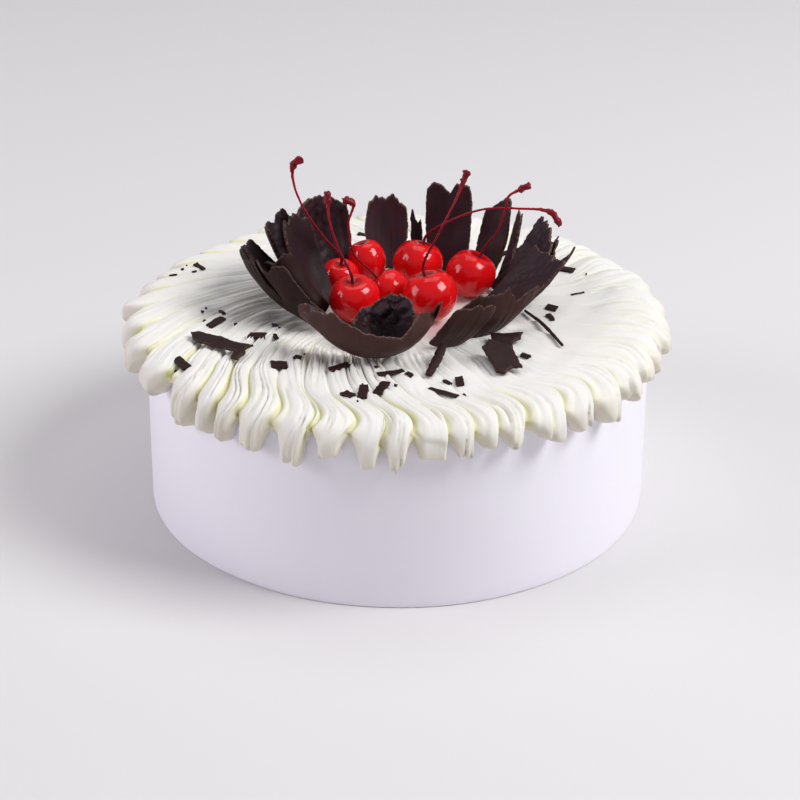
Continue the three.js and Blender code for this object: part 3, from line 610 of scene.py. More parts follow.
def dyed_stem(colours):
    """A cherry stalk dyed by the syrup: dark crimson and satin, redder in the middle, with a rough
    brown red knob where it was picked."""
    material, tree, surface = shader("cherry_stalk_dyed", {
        "Roughness": 0.34,
        "IOR": 1.45,
        "Specular IOR Level": 0.25,
        "Subsurface Weight": 0.12,
        "Subsurface Scale": 0.8 * MM,
        "Subsurface Radius": (1.0, 0.2, 0.15),
    })
    place = add(tree, "ShaderNodeTexCoord").outputs["Object"]
    along = add(tree, "ShaderNodeAttribute", attribute_name="along").outputs["Fac"]
    length = add(tree, "ShaderNodeValToRGB", {"Fac": along})
    colour_stops(length.color_ramp, [(0.0, "#3a0609"), (0.3, "#7a0c1c"), (0.65, "#a01429"),
                                     (0.84, "#ac1c24"), (0.93, "#6a1016"), (1.0, "#38080a")])
    # Flecks of bark, 1.5 mm.
    flecks = add(tree, "ShaderNodeTexNoise", {
        "Vector": place,
        "Scale": 1 / (1.5 * MM),
        "Detail": 3.0,
    })
    tone = add(tree, "ShaderNodeMix", {"Factor": flecks, "A": length, "B": colours.stem},
               data_type="RGBA")
    plug(tree, tone, surface.inputs["Base Color"])
    bump = add(tree, "ShaderNodeBump", {"Height": flecks, "Strength": 0.6, "Distance": 0.25 * MM})
    plug(tree, bump, surface.inputs["Normal"])
    return material


def studio_floor(colours):
    """A plain matt pale table, without pattern, so that only the cake's shadow shows on it."""
    return shader("studio_floor_matt", {
        "Base Color": colours.floor,
        "Roughness": 0.9,
        "Specular IOR Level": 0.1,
    })[0]


# ------------------------------------------------------------------ piped cream


def piped_strokes():
    """One row for each stroke of the piping bag: where its lobe hangs, how low and how far out."""
    rows = [{"turn": turn, "low": low} for turn, low in SHOWN_TIPS]
    first = SHOWN_TIPS[-1][0]
    span = SHOWN_TIPS[0][0] + 360 - first
    for i in range(1, BACK_STROKES):
        stray = (uneven(i, CREAM_SEED) - 0.5) * BACK_STRAY
        rows.append({
            "turn": first + span * (i + stray) / BACK_STROKES,
            "low": lerp(TIP_LOW, TIP_HIGH, uneven(i, CREAM_SEED + 1)),
        })
    for i, row in enumerate(rows):
        following = rows[(i + 1) % len(rows)]
        row["gap"] = (following["turn"] - row["turn"]) % 360
        reach = float(around(REACHES, row["turn"]))
        row["reach"] = reach + (uneven(i, CREAM_SEED + 2) - 0.5) * 2 * REACH_SPREAD
        rise = NOTCH * min(row["gap"] / FULL_NOTCH_GAP, 1)
        row["notch"] = min(max(row["low"], following["low"]) + rise, NOTCH_HIGHEST)
        row["valley"] = float(around(VALLEY_PLACE, row["turn"] + row["gap"] / 2))
        row["flap"] = 1.0 if row["turn"] == FLAP_STROKE else 0.0
    for i, row in enumerate(rows):
        before = rows[i - 1]
        width = before["gap"] * (1 - before["valley"]) + row["gap"] * row["valley"]
        row["ribs"] = max(2, round(width * RIM_GIRTH / RIB_PITCH))
    return rows


def cream_columns(rows, step_shown, step_hidden):
    """Columns of points round the cream. across runs from -1 in the valley before a stroke's crest,
    through 0 on the crest, to 1 in the valley after it."""
    columns = []
    for i, row in enumerate(rows):
        following = rows[(i + 1) % len(rows)]
        step = step_shown if i + 1 < len(SHOWN_TIPS) else step_hidden
        count = max(FEWEST_COLUMNS, round(row["gap"] / step))
        for j in range(count):
            share = j / count
            if share < row["valley"]:
                owner, number, across = row, i, share / row["valley"]
            else:
                owner, number = following, (i + 1) % len(rows)
                across = -(1 - share) / (1 - row["valley"])
            columns.append((row["turn"] + row["gap"] * share, across, number, owner["reach"],
                            owner["low"], row["notch"], owner["ribs"], owner["flap"]))
    names = ("turn", "across", "number", "reach", "low", "notch", "ribs", "flap")
    return dict(zip(names, np.array(columns, float).T))


def cream_rings(col, sizes):
    """The cream's surface before its ribs, in rings of points from the flower over the rim to the
    hem: their radius and height, the way each one faces, the radius that its sweep goes by and its
    hang."""
    turn, flap = col["turn"], col["flap"]
    side = np.abs(col["across"])
    dome = (1 - side ** lerp(*DOME_POWERS, flap)) ** DOME_ROUND
    finger = 1 - fade(side, lerp(*REACH_STARTS, flap), lerp(*REACH_SPREADS, flap))
    risen = fade(side, lerp(*NOTCH_STARTS, flap), lerp(*NOTCH_SPREADS, flap))
    middle = lerp(col["low"], col["notch"], risen) + NOSE
    shoulder = lerp(SHOULDER_VALLEY, SHOULDER_LOBE, dome)
    out = lerp(REACH_VALLEY, col["reach"] - sizes.rib_height / MM * 0.5, finger)
    ridge, relief, swell, fullness = (around(table, turn)
                                      for table in (RIDGES, RIM_RELIEFS, SWELLS, FULLNESS))

    def top_height(radius):
        grown = fade(radius, *RIDGE_FADE)
        mean = lerp(CREAM_BED_HEIGHT, CREAM_TOP, grown) + swell * fade(radius, *SWELL_FADE)
        return mean + lerp(ridge, relief, fade(radius, *RIM_FADE)) * grown * (dome - MEAN_DOME)

    places = []
    flat = np.zeros_like(turn)
    for share in [*BED_RINGS, *np.linspace(TOP_FIRST_RING, 1.0, sizes.top_rows)]:
        radius = shoulder * share
        places.append((radius, top_height(radius), flat, flat + 1, radius, flat))
    top = top_height(shoulder)
    for angle in np.radians(np.linspace(0, 90, sizes.side_rows + 1)[1:]):
        s, c = math.sin(angle) ** fullness, abs(math.cos(angle)) ** fullness
        radius = shoulder + (out - shoulder) * s
        long, tall = (top - middle) * math.sin(angle), (out - shoulder) * math.cos(angle)
        size = np.hypot(long, tall)
        places.append((radius, middle + (top - middle) * c, long / size, tall / size,
                       radius, np.full_like(turn, angle / math.pi * 2)))
    for angle in np.radians(np.linspace(90, 180, sizes.hem_rows + 1)[1:]):
        s, c = math.sin(angle), math.cos(angle)
        radius = HEM_RADIUS + (out - HEM_RADIUS) * s
        long, tall = NOSE * s, (out - HEM_RADIUS) * c
        size = np.hypot(long, tall)
        places.append((radius, middle + NOSE * c, long / size, tall / size,
                       np.full_like(turn, SWEEP_END), np.full_like(turn, angle / math.pi * 2)))
    return (np.array(part) for part in zip(*places))


def cream_grid(sizes):
    """The cream's points before its ribs and the way each one faces, how high and where the ribs
    are, and what the finish needs: the valleys and the tips of the lobes that get painted shade,
    the notches that get a painted glow and a map of the grain."""
    step = math.degrees(sizes.column_step)
    col = cream_columns(piped_strokes(), step, step * HIDDEN_STEP)
    turn, across, number, flap = (col[key] for key in ("turn", "across", "number", "flap"))
    side = np.abs(across)
    radius, height, face_out, face_up, sweep_radius, hang = cream_rings(col, sizes)

    inward = np.clip((SWEEP_END - sweep_radius) / (SWEEP_END - SWEEP_START), 0, 1)
    swing = around(SWING, turn) * (fade(radius, *SWING_FADE) - smooth(hang))
    wander = WANDER * ripple(turn / 7, radius / 14, size=3.0, seed=5) * fade(radius, *WANDER_FADE)
    swing = swing + wander
    angle = np.radians(turn - around(SWEEP, turn) * inward ** SWEEP_BEND + swing)

    # Ribs: a phase that grows by one from rib to rib, strayed a little but not in the valleys.
    inside = 1 - side ** 2
    stray = ripple(number * 3.7 + 0 * radius, radius / 16, size=2.2, seed=21) * RIB_STRAY
    phase = (across + stray * inside + 1) / 2 * col["ribs"]
    bunch = np.sin(phase * 2.3 + number * 1.9 + 0.6 * np.sin(radius / 9 + number))
    phase = phase + RIB_BUNCHING * inside * bunch
    own = np.floor(phase)
    change = 0.5 + 0.5 * ripple(own * 2.3 + number, radius / 18, size=2.0, seed=31)
    strength = lerp(*RIB_STRENGTHS, uneven_each((own + 7 * number) * HASH_STEP))
    strength = strength * lerp(*RIB_CHANGES, change)
    on_top = around(TOP_RIBS, turn) * fade(radius, *TOP_RIB_FADE)
    on_top = on_top * lerp(BED_RIB_GAIN, 1.0, fade(radius, *BED_RIB_FADE))
    on_lobe = around(LOBE_RIBS, turn)
    on_rim = on_lobe * (1 - NOSE_RIB_LOSS * fade(hang, *NOSE_RIB_FADE))
    rib_height = lerp(on_top, on_rim, fade(radius, *LOBE_RIB_FADE)) * strength
    rib_height = rib_height * (1 - FLAP_RIB_LOSS * flap * fade(hang, *FLAP_RIB_FADE))

    # Each stroke lies over its neighbour, and the whole top is a little uneven by hand.
    raised = fade(radius, *RAISED_FADE) * (1 - fade(hang, *RAISED_END))
    lift = around(SHINGLE, turn) * across * (1 - side ** 6) * raised
    x = radius * np.cos(angle)
    y = radius * np.sin(angle)
    lift = lift + sizes.unevenness / MM * ripple(x, y, size=16, seed=41) * raised
    squeeze = pressed_up(x, y) * (hang == 0)
    folded = smooth((hang - FOLD_PLACE - FOLD_SLANT * across) / FOLD_WIDTH)
    lift = lift - FOLD_DEPTH * flap * (1 - side ** 4) * folded
    radius = radius + face_out * lift
    height = height + face_up * lift + squeeze
    # The ribs of a lobe end at different heights, and the lobe ends a little higher between two.
    hanging = fade(hang, *HANGING_FADE) * inside
    crease = (1 - np.abs(np.sin(math.pi * phase)) ** 0.8) * (1 - flap)
    height = height + hanging * RIB_NOTCH * crease * np.clip(on_lobe * strength, *RIB_NOTCH_RANGE)
    height = height + hanging * RIB_STAGGER * (ragged(phase, number) - RIB_STAGGER_MEAN)
    points = np.stack([radius * np.cos(angle), radius * np.sin(angle), height], axis=-1)
    facing = np.stack([face_out * np.cos(angle), face_out * np.sin(angle), face_up], axis=-1)

    steps = np.hypot(np.diff(radius, axis=0), np.diff(height, axis=0))
    travelled = np.cumsum(np.vstack([np.zeros_like(turn), steps]), axis=0)
    # Painted shade: the mask of the valleys between the strokes, half as strong past the noses and
    # weaker on the top.
    valley = fade(side, *PAINTED_SHADE_SIDE) * fade(radius, *PAINTED_SHADE_FADE)
    valley = valley * (1 - 0.5 * (hang > PAINTED_SHADE_UNDER))
    valley = valley * lerp(around(PAINTED_VALLEY_SHADES, turn), 1, fade(hang, *PAINTED_SHADE_TOP_FADE))
    # A few notches get a painted glow, a stronger green yellow, for the light that comes through
    # the thin cream.
    chosen = uneven_each(number * HASH_STEP) < GLOW_SHARE
    glow = chosen * (across > 0) * fade(side, *GLOW_SIDE) * fade(hang, *GLOW_FADE)
    glow = glow * (1 - fade(hang, *GLOW_END))
    return points, facing, {
        "phase": phase,
        "rib_height": rib_height * MM,
        "valley": valley + 0 * radius,
        "glow": glow,
        # painted shade towards the lower ends of the lobes
        "tip": fade(hang, *PAINTED_TIP_SHADE_FADE),
    }, np.stack([turn * RIM_GIRTH + 0 * radius, travelled], axis=-1)


def ragged(phase, number):
    """A value from 0 to 1 for each rib of each stroke, run together over the crease between two."""
    before = np.floor(phase - 0.5)
    values = (uneven_each((rib + 5 * number) * HASH_SEED_STEP) for rib in (before, before + 1))
    return lerp(*values, fade(phase - 0.5 - before, *RIB_STAGGER_FADE))


def pressed_up(x, y):
    """The cream swells against the feet of the chocolate that was pushed into it."""
    feet = np.array([petal_point(petal, u, 0.0)[0][:2] for petal in PETALS
                     for u in np.linspace(-1, 1, 15)])
    near = np.hypot(x, y) < CREAM_BED_RADIUS + PRESSED_REACH
    rise = np.zeros_like(x)
    spots = np.stack([x[near], y[near]], axis=-1)
    away = spots[:, None] - feet[None]
    nearest = np.min(np.hypot(away[..., 0], away[..., 1]), axis=1)
    rise[near] = PRESSED_HEIGHT * np.exp(-(nearest / PRESSED_WIDTH) ** 2)
    return rise


def cream_mesh(sizes):
    """A closed skin from the grid: the top, the hanging lobes and the underside on the cake."""
    points, facing, values, grain = cream_grid(sizes)
    rows, columns = points.shape[:2]
    hem_line = points[-1, :, :2]
    inner = hem_line / np.linalg.norm(hem_line, axis=1)[:, None] * (CAKE_RADIUS + GAP)
    hem = np.column_stack([inner, points[-1, :, 2] + HEM_STEP])
    under = np.column_stack([inner, np.full(columns, CAKE_HEIGHT + GAP)])
    skin = np.vstack([points.reshape(-1, 3), hem, under,
                      [[0, 0, CREAM_BED_HEIGHT], [0, 0, CAKE_HEIGHT + GAP]]])
    tail = 2 * columns + 2    # the points of the underside and the two in the middle
    values = {key: np.concatenate([part.ravel(), np.zeros(tail)]) for key, part in values.items()}
    uv = np.vstack([grain.reshape(-1, 2), np.zeros((tail, 2))])
    piece = mesh_object("cream_cap", skin, tube_faces(rows + 2, columns), values, uv)
    store_vectors(piece.data, "facing", np.vstack([facing.reshape(-1, 3), np.zeros((tail, 3))]))
    return piece


def rib_tree():
    """Star nozzle ribs: every point moves out along its own facing by the height of its rib, which
    is round on top and meets the next rib in a crease. The depth of the creases, added to the
    valleys, is kept as the mask of the finish's painted shade."""
    tree, source, sink = tree_with("Nozzle ribs", [
        ("Rib height", 1.0),
        ("Roundness", 0.7),
        ("Unevenness", 0.25),
        ("Unevenness size", 12 * MM),
    ])
    phase, rib_height, valley, facing = (
        add(tree, "GeometryNodeInputNamedAttribute", {"Name": key}, data_type=kind)
        for key, kind in (("phase", "FLOAT"), ("rib_height", "FLOAT"), ("valley", "FLOAT"),
                          ("facing", "FLOAT_VECTOR")))
    turn = add(tree, "ShaderNodeMath", {0: phase, 1: math.pi}, operation="MULTIPLY")
    wave = add(tree, "ShaderNodeMath", {0: turn}, operation="SINE")
    fold = add(tree, "ShaderNodeMath", {0: wave}, operation="ABSOLUTE")
    crest = add(tree, "ShaderNodeMath", {0: fold, 1: source.outputs["Roundness"]},
                operation="POWER")
    level = add(tree, "ShaderNodeMath", {0: crest, 1: RIB_MEAN}, operation="SUBTRACT")
    place = add(tree, "GeometryNodeInputPosition")
    pace = add(tree, "ShaderNodeMath", {0: 1.0, 1: source.outputs["Unevenness size"]},
               operation="DIVIDE")
    noise = add(tree, "ShaderNodeTexNoise", {"Vector": place, "Scale": pace, "Detail": 1.0})
    stray = add(tree, "ShaderNodeMath", {0: noise, 1: 0.5}, operation="SUBTRACT")
    amount = add(tree, "ShaderNodeMath", {0: stray, 1: source.outputs["Unevenness"], 2: level},
                 operation="MULTIPLY_ADD")
    own = add(tree, "ShaderNodeMath", {0: rib_height, 1: source.outputs["Rib height"]},
              operation="MULTIPLY")
    size = add(tree, "ShaderNodeMath", {0: amount, 1: own}, operation="MULTIPLY")
    offset = add(tree, "ShaderNodeVectorMath", {0: facing, "Scale": size}, operation="SCALE")
    moved = add(tree, "GeometryNodeSetPosition", {
        "Geometry": source.outputs["Geometry"],
        "Offset": offset,
    })
    # Creases get painted shade in the finish by their depth, 2.2 mm being full.
    crease = add(tree, "ShaderNodeMath", {0: 1.0, 1: crest}, operation="SUBTRACT")
    deep = add(tree, "ShaderNodeMath", {0: own, 1: 1 / (2.2 * MM)}, operation="MULTIPLY")
    creased = add(tree, "ShaderNodeMath", {0: crease, 1: deep}, operation="MULTIPLY")
    painted_fold_shade = add(tree, "ShaderNodeMath", {0: valley, 1: creased}, operation="ADD", use_clamp=True)
    kept = add(tree, "GeometryNodeStoreNamedAttribute", {
        "Geometry": moved,
        "Name": "painted_fold_shade",
        "Value": painted_fold_shade,
    }, data_type="FLOAT", domain="POINT")
    close_tree(tree, source, sink, kept)
    return tree


# ------------------------------------------------------------------ chocolate petals

# The petals of the flower, as in the frame: the direction of the outer face, the foot, the middle
# of the broken upper edge, the widest width, half the angle that the section bends through (cup),
# how far the middle bulges out (bow), the depth of the broken edge (jag), the width at both ends as
# a share (base, top), the turn about its length (roll), a seed and, where it isn't left to the
# seed, the share of the jag that is broken off at each of seven points along the edge (rim).
PETAL_KEYS = ("name", "facing", "foot", "tip", "width", "cup", "bow", "jag", "base", "top", "roll",
              "seed", "rim")
PETALS = [dict(zip(PETAL_KEYS, row)) for row in (
    ("front_bowl", -92, (-8, -40.5, 0), (-12.8, -50, 100.5), 54, 78, 6.5, 12, 0.84, 0.9, 2, 1,
     (0.3, 0, 0.05, 0.55, 0.95, 0, 0.1)),
    ("front_inner", 80, (-4, -25, 0), (-4, -23.5, 96.5), 24, 66, 1.5, 9, 0.8, 1, 0, 2,
     (0.45, 0.1, 0, 0.1, 0.35, 0.6, 1)),
    ("front_shard", 150, (-13, -32, 0), (-15.5, -27.5, 91), 11, 24, 1, 6, 1, 0.8, 0, 22,
     (0.7, 0.1, 0.5, 0, 0.6, 0.3, 1)),
    ("left_outer", 186, (-34, -7, 0), (-62.5, -4, 105), 22, 34, 4.5, 3, 0.6, 0.55, 10, 3),
    ("left_front", 202, (-30, -17, 1.6), (-52.5, -14, 106), 17.5, 36, 3.5, 6, 0.8, 0.8, 34, 4,
     (0.5, 0.2, 0.9, 0.8, 0.4, 0.6, 0.5)),
    ("left_low", 168, (-38, 12, 0), (-62, 14, 101), 14, 30, 2.5, 4, 0.7, 0.5, 0, 5),
    ("left_inner", 152, (-29.5, 3, 0), (-43, 10, 115), 21, 36, 3, 4, 0.6, 0.75, 0, 6),
    ("left_roll", 176, (-30.5, -9, 2.1), (-47.5, -9.5, 105), 11, 78, 1, 5, 0.9, 0.95, 105, 23,
     (0.2, 0, 0.5, 0.3, 0.1, 0.6, 1)),
    ("left_ruffle", 158, (-38.1, 24.6, 0), (-53.5, 25.6, 108), 19.5, 50, 2, 5, 0.6, 0.95, 0, 7),
    ("left_back", 132, (-29, 32, 0), (-34, 36, 112), 29, 46, 4, 5, 0.6, 0.85, 0, 8,
     (1, 0.5, 0.15, 0.1, 0, 0.1, 0.5)),
    ("back_left", 97, (-5, 43, 0), (-5, 50, 108), 18, 34, 3, 7, 0.7, 0.75, 0, 9,
     (0.9, 0.55, 0.1, 0.35, 0.2, 0.05, 0.4)),
    ("back_spike", 85, (8, 45.5, 0), (6.5, 50, 103), 5.5, 12, 1, 8, 1, 0.6, 0, 10),
    ("back_right", 74, (20, 41, 0), (20.5, 45, 115.5), 20, 24, 2, 6, 0.75, 0.9, 0, 11,
     (0.1, 0, 0.15, 0.9, 0.3, 0.2, 0.6)),
    ("right_back", 54, (34, 33, 0), (42, 37, 113), 14, 24, 2, 9, 0.7, 0.7, 0, 12,
     (0.15, 0, 0.1, 0.3, 0.55, 0.8, 1)),
    ("right_blade", 40, (41.2, 26.7, 0), (49.9, 32, 110), 5, 10, 1, 5, 1, 0.4, 0, 13),
    ("right_jagged", 22, (42.4, 13.6, 0), (62.5, 19.5, 107), 22, 28, 2, 9, 0.92, 0.9, 0, 14,
     (1, 0.75, 0.55, 0.2, 0.1, 0, 0.1)),
    ("right_shard", 28, (47.5, 8, 0), (68, 11, 103.5), 15, 14, 1, 9, 0.65, 0.9, 0, 15,
     (0, 0.6, 1, 1, 0.8, 0.3, 0)),
    ("right_inner", 30, (37, 1, 0), (62, 2, 102.5), 22, 18, 2, 4, 0.65, 1, 0, 16,
     (0.3, 0.1, 0.5, 0.2, 0.1, 0.3, 0.1)),
    ("right_front", -64, (33.5, -20.3, 0.1), (43.5, -17.5, 97.5), 36, 28, 2.5, 8, 0.7, 0.98, 3, 17,
     (1, 0.1, 0.3, 0.15, 0.9, 0.4, 0.5)),
    ("front_right", -62, (19.5, -30.5, 0), (31.5, -34, 96), 19, 30, 2, 4, 0.8, 0.85, -8, 18,
     (0.6, 0.1, 0.3, 0, 0.2, 0.1, 0.8)),
)]
# How deep the folds of a crumpled petal are.
CRUMPLED = {"front_inner": 2.2, "left_ruffle": 0.8, "left_back": 0.6, "left_front": 0.5,
            "right_jagged": 0.5, "right_blade": 0.4, "right_inner": 0.4, "right_front": 0.4}
# Where the broken edge is splintered more than elsewhere.
SPLINTERED = {"right_jagged": 1.9, "right_blade": 1.4, "right_inner": 1.6, "right_front": 1.7,
              "right_shard": 1.5, "left_ruffle": 1.4, "left_outer": 1.3, "front_inner": 1.5}
# Painted shade and sheen of the chocolate, by the direction that a petal faces: those at the left,
# out of the light, are painted darkest, and those facing 97 degrees at the back are painted lighter
# for their sheen.
FACING_SHADE_AND_SHEEN = [(-98, 1.05), (-60, 0.74), (-8, 0.8), (40, 1.0), (76, 1.05), (83, 0.85), (97, 1.5),
         (132, 0.9), (158, 0.72), (186, 0.36), (202, 0.5)]
SOLID_COLUMNS = 6             # the solids' broken edges have this many steps
ROOM_MARGIN = 0.03            # a room is this share wider and longer than its petal
ROOM_ROWS = 6
PETAL_COLUMN = 0.42           # between the columns of points across a petal
FEWEST_PETAL_COLUMNS = 14
PETAL_ROWS = 64
SIDE_TEAR = 0.7               # the sides are torn by this share of the broken edge
EDGE_THINNING = 0.4           # a petal is this share thinner at its edges
FOLD_SIZE = 8.0
SMALL_FOLD_SIZE = 4.6
SMALL_FOLD_SHARE = 0.3
FIBRE_SIZE = 2.6
CREASE_SIZE = 11


def petal_width(petal, v):
    if v < 0.5:
        return petal["width"] * lerp(petal["base"], 1, math.sin(math.pi * v))
    return petal["width"] * lerp(1, petal["top"], (2 * v - 1) ** 2)


def petal_point(petal, u, v):
    """A point of the petal's middle surface and the direction into the flower there. u is -1 to 1
    across the petal and v is 0 at the foot to 1 at the tip."""
    facing = math.radians(petal["facing"])
    level = Vector((-math.sin(facing), math.cos(facing), 0))
    foot = Vector(petal["foot"]) + Vector((0, 0, FOOT_Z + SHAVING_THICKNESS / 2))
    tip = Vector(petal["tip"])
    bulge = level.cross(tip - foot).normalized()
    bend = (foot + tip) / 2 + bulge * 2 * petal["bow"]
    middle = foot * (1 - v) ** 2 + bend * 2 * v * (1 - v) + tip * v ** 2
    held = min(max(v, 0), 1)
    along = ((bend - foot) * (1 - held) + (tip - bend) * held).normalized()
    across = Quaternion(along, math.radians(petal["roll"])) @ level
    inward = along.cross(across).normalized()
    half = math.radians(petal["cup"])
    bend_radius = petal_width(petal, v) / 2 / math.sin(half)
    point = (middle + across * bend_radius * math.sin(half * u)
             + inward * bend_radius * (1 - math.cos(half * u)))
    return point, inward * math.cos(half * u) - across * math.sin(half * u)


def broken_share(petal, u):
    """How much of the petal's length is broken off at u, by the solids' steps joined by lines."""
    foot = Vector(petal["foot"]) + Vector((0, 0, FOOT_Z))
    length = (Vector(petal["tip"]) - foot).length
    step = (u + 1) / 2 * SOLID_COLUMNS
    i = min(max(int(math.floor(step)), 0), SOLID_COLUMNS - 1)
    rim = petal.get("rim") or [uneven(k, petal["seed"]) for k in range(SOLID_COLUMNS + 1)]
    jag = lerp(rim[i], rim[i + 1], step - i)
    return petal["jag"] / length * jag, length


def rough_line(x, seed, size):
    """An uneven line between 0 and 1 along x: broken flats with small steps between them."""
    i = math.floor(x / size)
    share = float(smooth(((x / size - i) - 0.35) / 0.3))
    return lerp(uneven(i, seed), uneven(i + 1, seed), share)


def torn_line(x, seed):
    """A torn edge between 0 and 1: large bites, smaller ones and crumbs."""
    return (0.36 * rough_line(x, seed, 4.3) + 0.36 * rough_line(x, seed + 1, 1.9)
            + 0.28 * rough_line(x, seed + 2, 0.9))


def petal_mesh(petal, sizes):
    """A curled shaving: two faces, thinner towards its broken edge, torn all round, with the
    fibrous ridges that the blade pulls up, a few soft creases and, if it is crumpled, folds."""
    columns = max(FEWEST_PETAL_COLUMNS, round(petal["width"] / PETAL_COLUMN))
    rows = PETAL_ROWS
    seed = petal["seed"]
    crumple = CRUMPLED.get(petal["name"], 0.0)
    torn = sizes.chips / MM * SPLINTERED.get(petal["name"], 1.0)
    front, back, broken_front, grain = [], [], [], []
    for i in range(columns + 1):
        plain_u = 2 * i / columns - 1
        across = petal["width"] * plain_u / 2
        broken, length = broken_share(petal, plain_u)
        end = 1 - broken - torn / length * torn_line(across + 50, seed + 60)
        for j in range(rows + 1):
            v = j / rows * end
            high = v * length
            side = SIDE_TEAR * torn / petal["width"] * abs(plain_u) ** 6 * float(fade(high, 0, 8))
            u = plain_u * (1 - side * torn_line(high, seed + 63 + 3 * (i > columns / 2)))
            point, normal = petal_point(petal, u, v)
            rim = max(abs(plain_u) ** 30, (j / rows) ** 40)
            thinned = max(abs(plain_u) ** 14, (j / rows) ** 18)
            thin = sizes.thickness / MM * (1 - EDGE_THINNING * thinned) / 2
            fibre = sizes.fibres / MM * float(ripple(across, high / 9, FIBRE_SIZE, seed + 75))
            crease = sizes.creases / MM * float(ripple(across, high * 0.7, CREASE_SIZE, seed + 70))
            crease = crease * float(fade(high, 0, 10))
            fold = float(ripple(across * 0.9 + 0.5 * high, high * 0.6, FOLD_SIZE, seed + 80))
            small = float(ripple(across - 0.4 * high, high, SMALL_FOLD_SIZE, seed + 81))
            loose = float(fade(high, 0, 8) * fade(length * end - high, 0, 3))
            wrinkle = crumple * (1 - plain_u ** 4) * loose
            wrinkle = wrinkle * (abs(fold) + SMALL_FOLD_SHARE * abs(small))
            front.append(point + normal * (thin + crease + wrinkle + fibre * 0.6))
            back.append(point - normal * (thin - crease - fibre))
            broken_front.append(float(fade(rim, 0.5, 0.45)))
            grain.append((across, high))
    # The tone passed on is the painted shade and sheen by the way the petal faces.
    return sheet_piece(f"shaving_{petal['name']}", front, back, broken_front, grain, columns, rows,
                       float(around(FACING_SHADE_AND_SHEEN, petal["facing"])))


def sheet_piece(name, front, back, broken, grain, columns, rows, tone=1.0):
    """Two grids of points joined round their edge by a strip with a row of its own, so that the
    broken edge keeps its corners. inner marks the front face, broken the torn edge and tone the
    painted shade."""
    def at(i, j):
        return i * (rows + 1) + j

    far = len(front)
    points = [*front, *back]
    inner = [1.0] * far + [0.0] * far
    edge = [*broken, *broken]
    uv = [*grain, *grain]
    faces = []
    for i in range(columns):
        for j in range(rows):
            a, b, c, d = at(i, j), at(i + 1, j), at(i + 1, j + 1), at(i, j + 1)
            faces.append([a, d, c, b])
            faces.append([far + a, far + b, far + c, far + d])
    loop = [at(i, 0) for i in range(columns)] + [at(columns, j) for j in range(rows)]
    loop += [at(i, rows) for i in range(columns, 0, -1)] + [at(0, j) for j in range(rows, 0, -1)]
    middles = {}
    for n in loop:
        middles[n] = len(points)
        points.append((Vector(front[n]) + Vector(back[n])) / 2)
        inner.append(0.5)
        edge.append(1.0)
        uv.append(grain[n])
    for n, m in zip(loop, loop[1:] + loop[:1]):
        faces.append([n, m, middles[m], middles[n]])
        faces.append([middles[n], middles[m], far + m, far + n])
    values = {"inner": inner, "broken": edge, "tone": [tone] * len(points)}
    return mesh_object(name, [tuple(p) for p in points], faces, values, uv)


def petal_room(petal):
    """The space a standing petal keeps for itself: the petal with the gap on all its faces."""
    thick = SHAVING_THICKNESS / 2 + GAP
    front, back = [], []
    for i in range(SOLID_COLUMNS + 1):
        u = (2 * i / SOLID_COLUMNS - 1) * (1 + ROOM_MARGIN)
        for j in range(ROOM_ROWS + 1):
            v = j / ROOM_ROWS * (1 + ROOM_MARGIN) - ROOM_MARGIN / 2
            point, normal = petal_point(petal, u, v)
            front.append(point + normal * thick)
            back.append(point - normal * thick)
    count = len(front)
    return sheet_piece(f"room_{petal['name']}", front, back, [0.0] * count, [(0, 0)] * count,
                       SOLID_COLUMNS, ROOM_ROWS)


def apart(a, b):
    """True if the boxes round two pieces don't meet."""
    box_a = np.array(a.bound_box)
    box_b = np.array(b.bound_box)
    return bool(np.any(box_a.max(0) < box_b.min(0)) or np.any(box_b.max(0) < box_a.min(0)))


def keep_largest(mesh):
    """Drops the loose scraps of a cut piece."""
    count = len(mesh.vertices)
    group = np.arange(count)
    edges = np.zeros(len(mesh.edges) * 2, np.int64)
    mesh.edges.foreach_get("vertices", edges)
    edges = edges.reshape(-1, 2)
    while True:
        lowest = np.minimum(group[edges[:, 0]], group[edges[:, 1]])
        following = group.copy()
        np.minimum.at(following, edges[:, 0], lowest)
        np.minimum.at(following, edges[:, 1], lowest)
        following = following[following]
        if np.array_equal(following, group):
            break
        group = following
    names, sizes = np.unique(group, return_counts=True)
    if len(names) == 1:
        return
    kept = names[np.argmax(sizes)]
    body = bmesh.new()
    body.from_mesh(mesh)
    body.verts.ensure_lookup_table()
    bmesh.ops.delete(body, geom=[v for v in body.verts if group[v.index] != kept], context="VERTS")
    body.to_mesh(mesh)
    body.free()


def give_way(piece, rooms):
    """Cuts the rooms of the petals that already stand out of a new one, so that they nest."""
    crossed = [room for room in rooms if not apart(piece, room)]
    if not crossed:
        return piece
    for room in crossed:
        cut = piece.modifiers.new("cut", "BOOLEAN")
        cut.operation = "DIFFERENCE"
        cut.solver = "MANIFOLD"
        cut.object = room
    made = settle(piece)
    keep_largest(made.data)
    return made


# ------------------------------------------------------------------ loose shavings

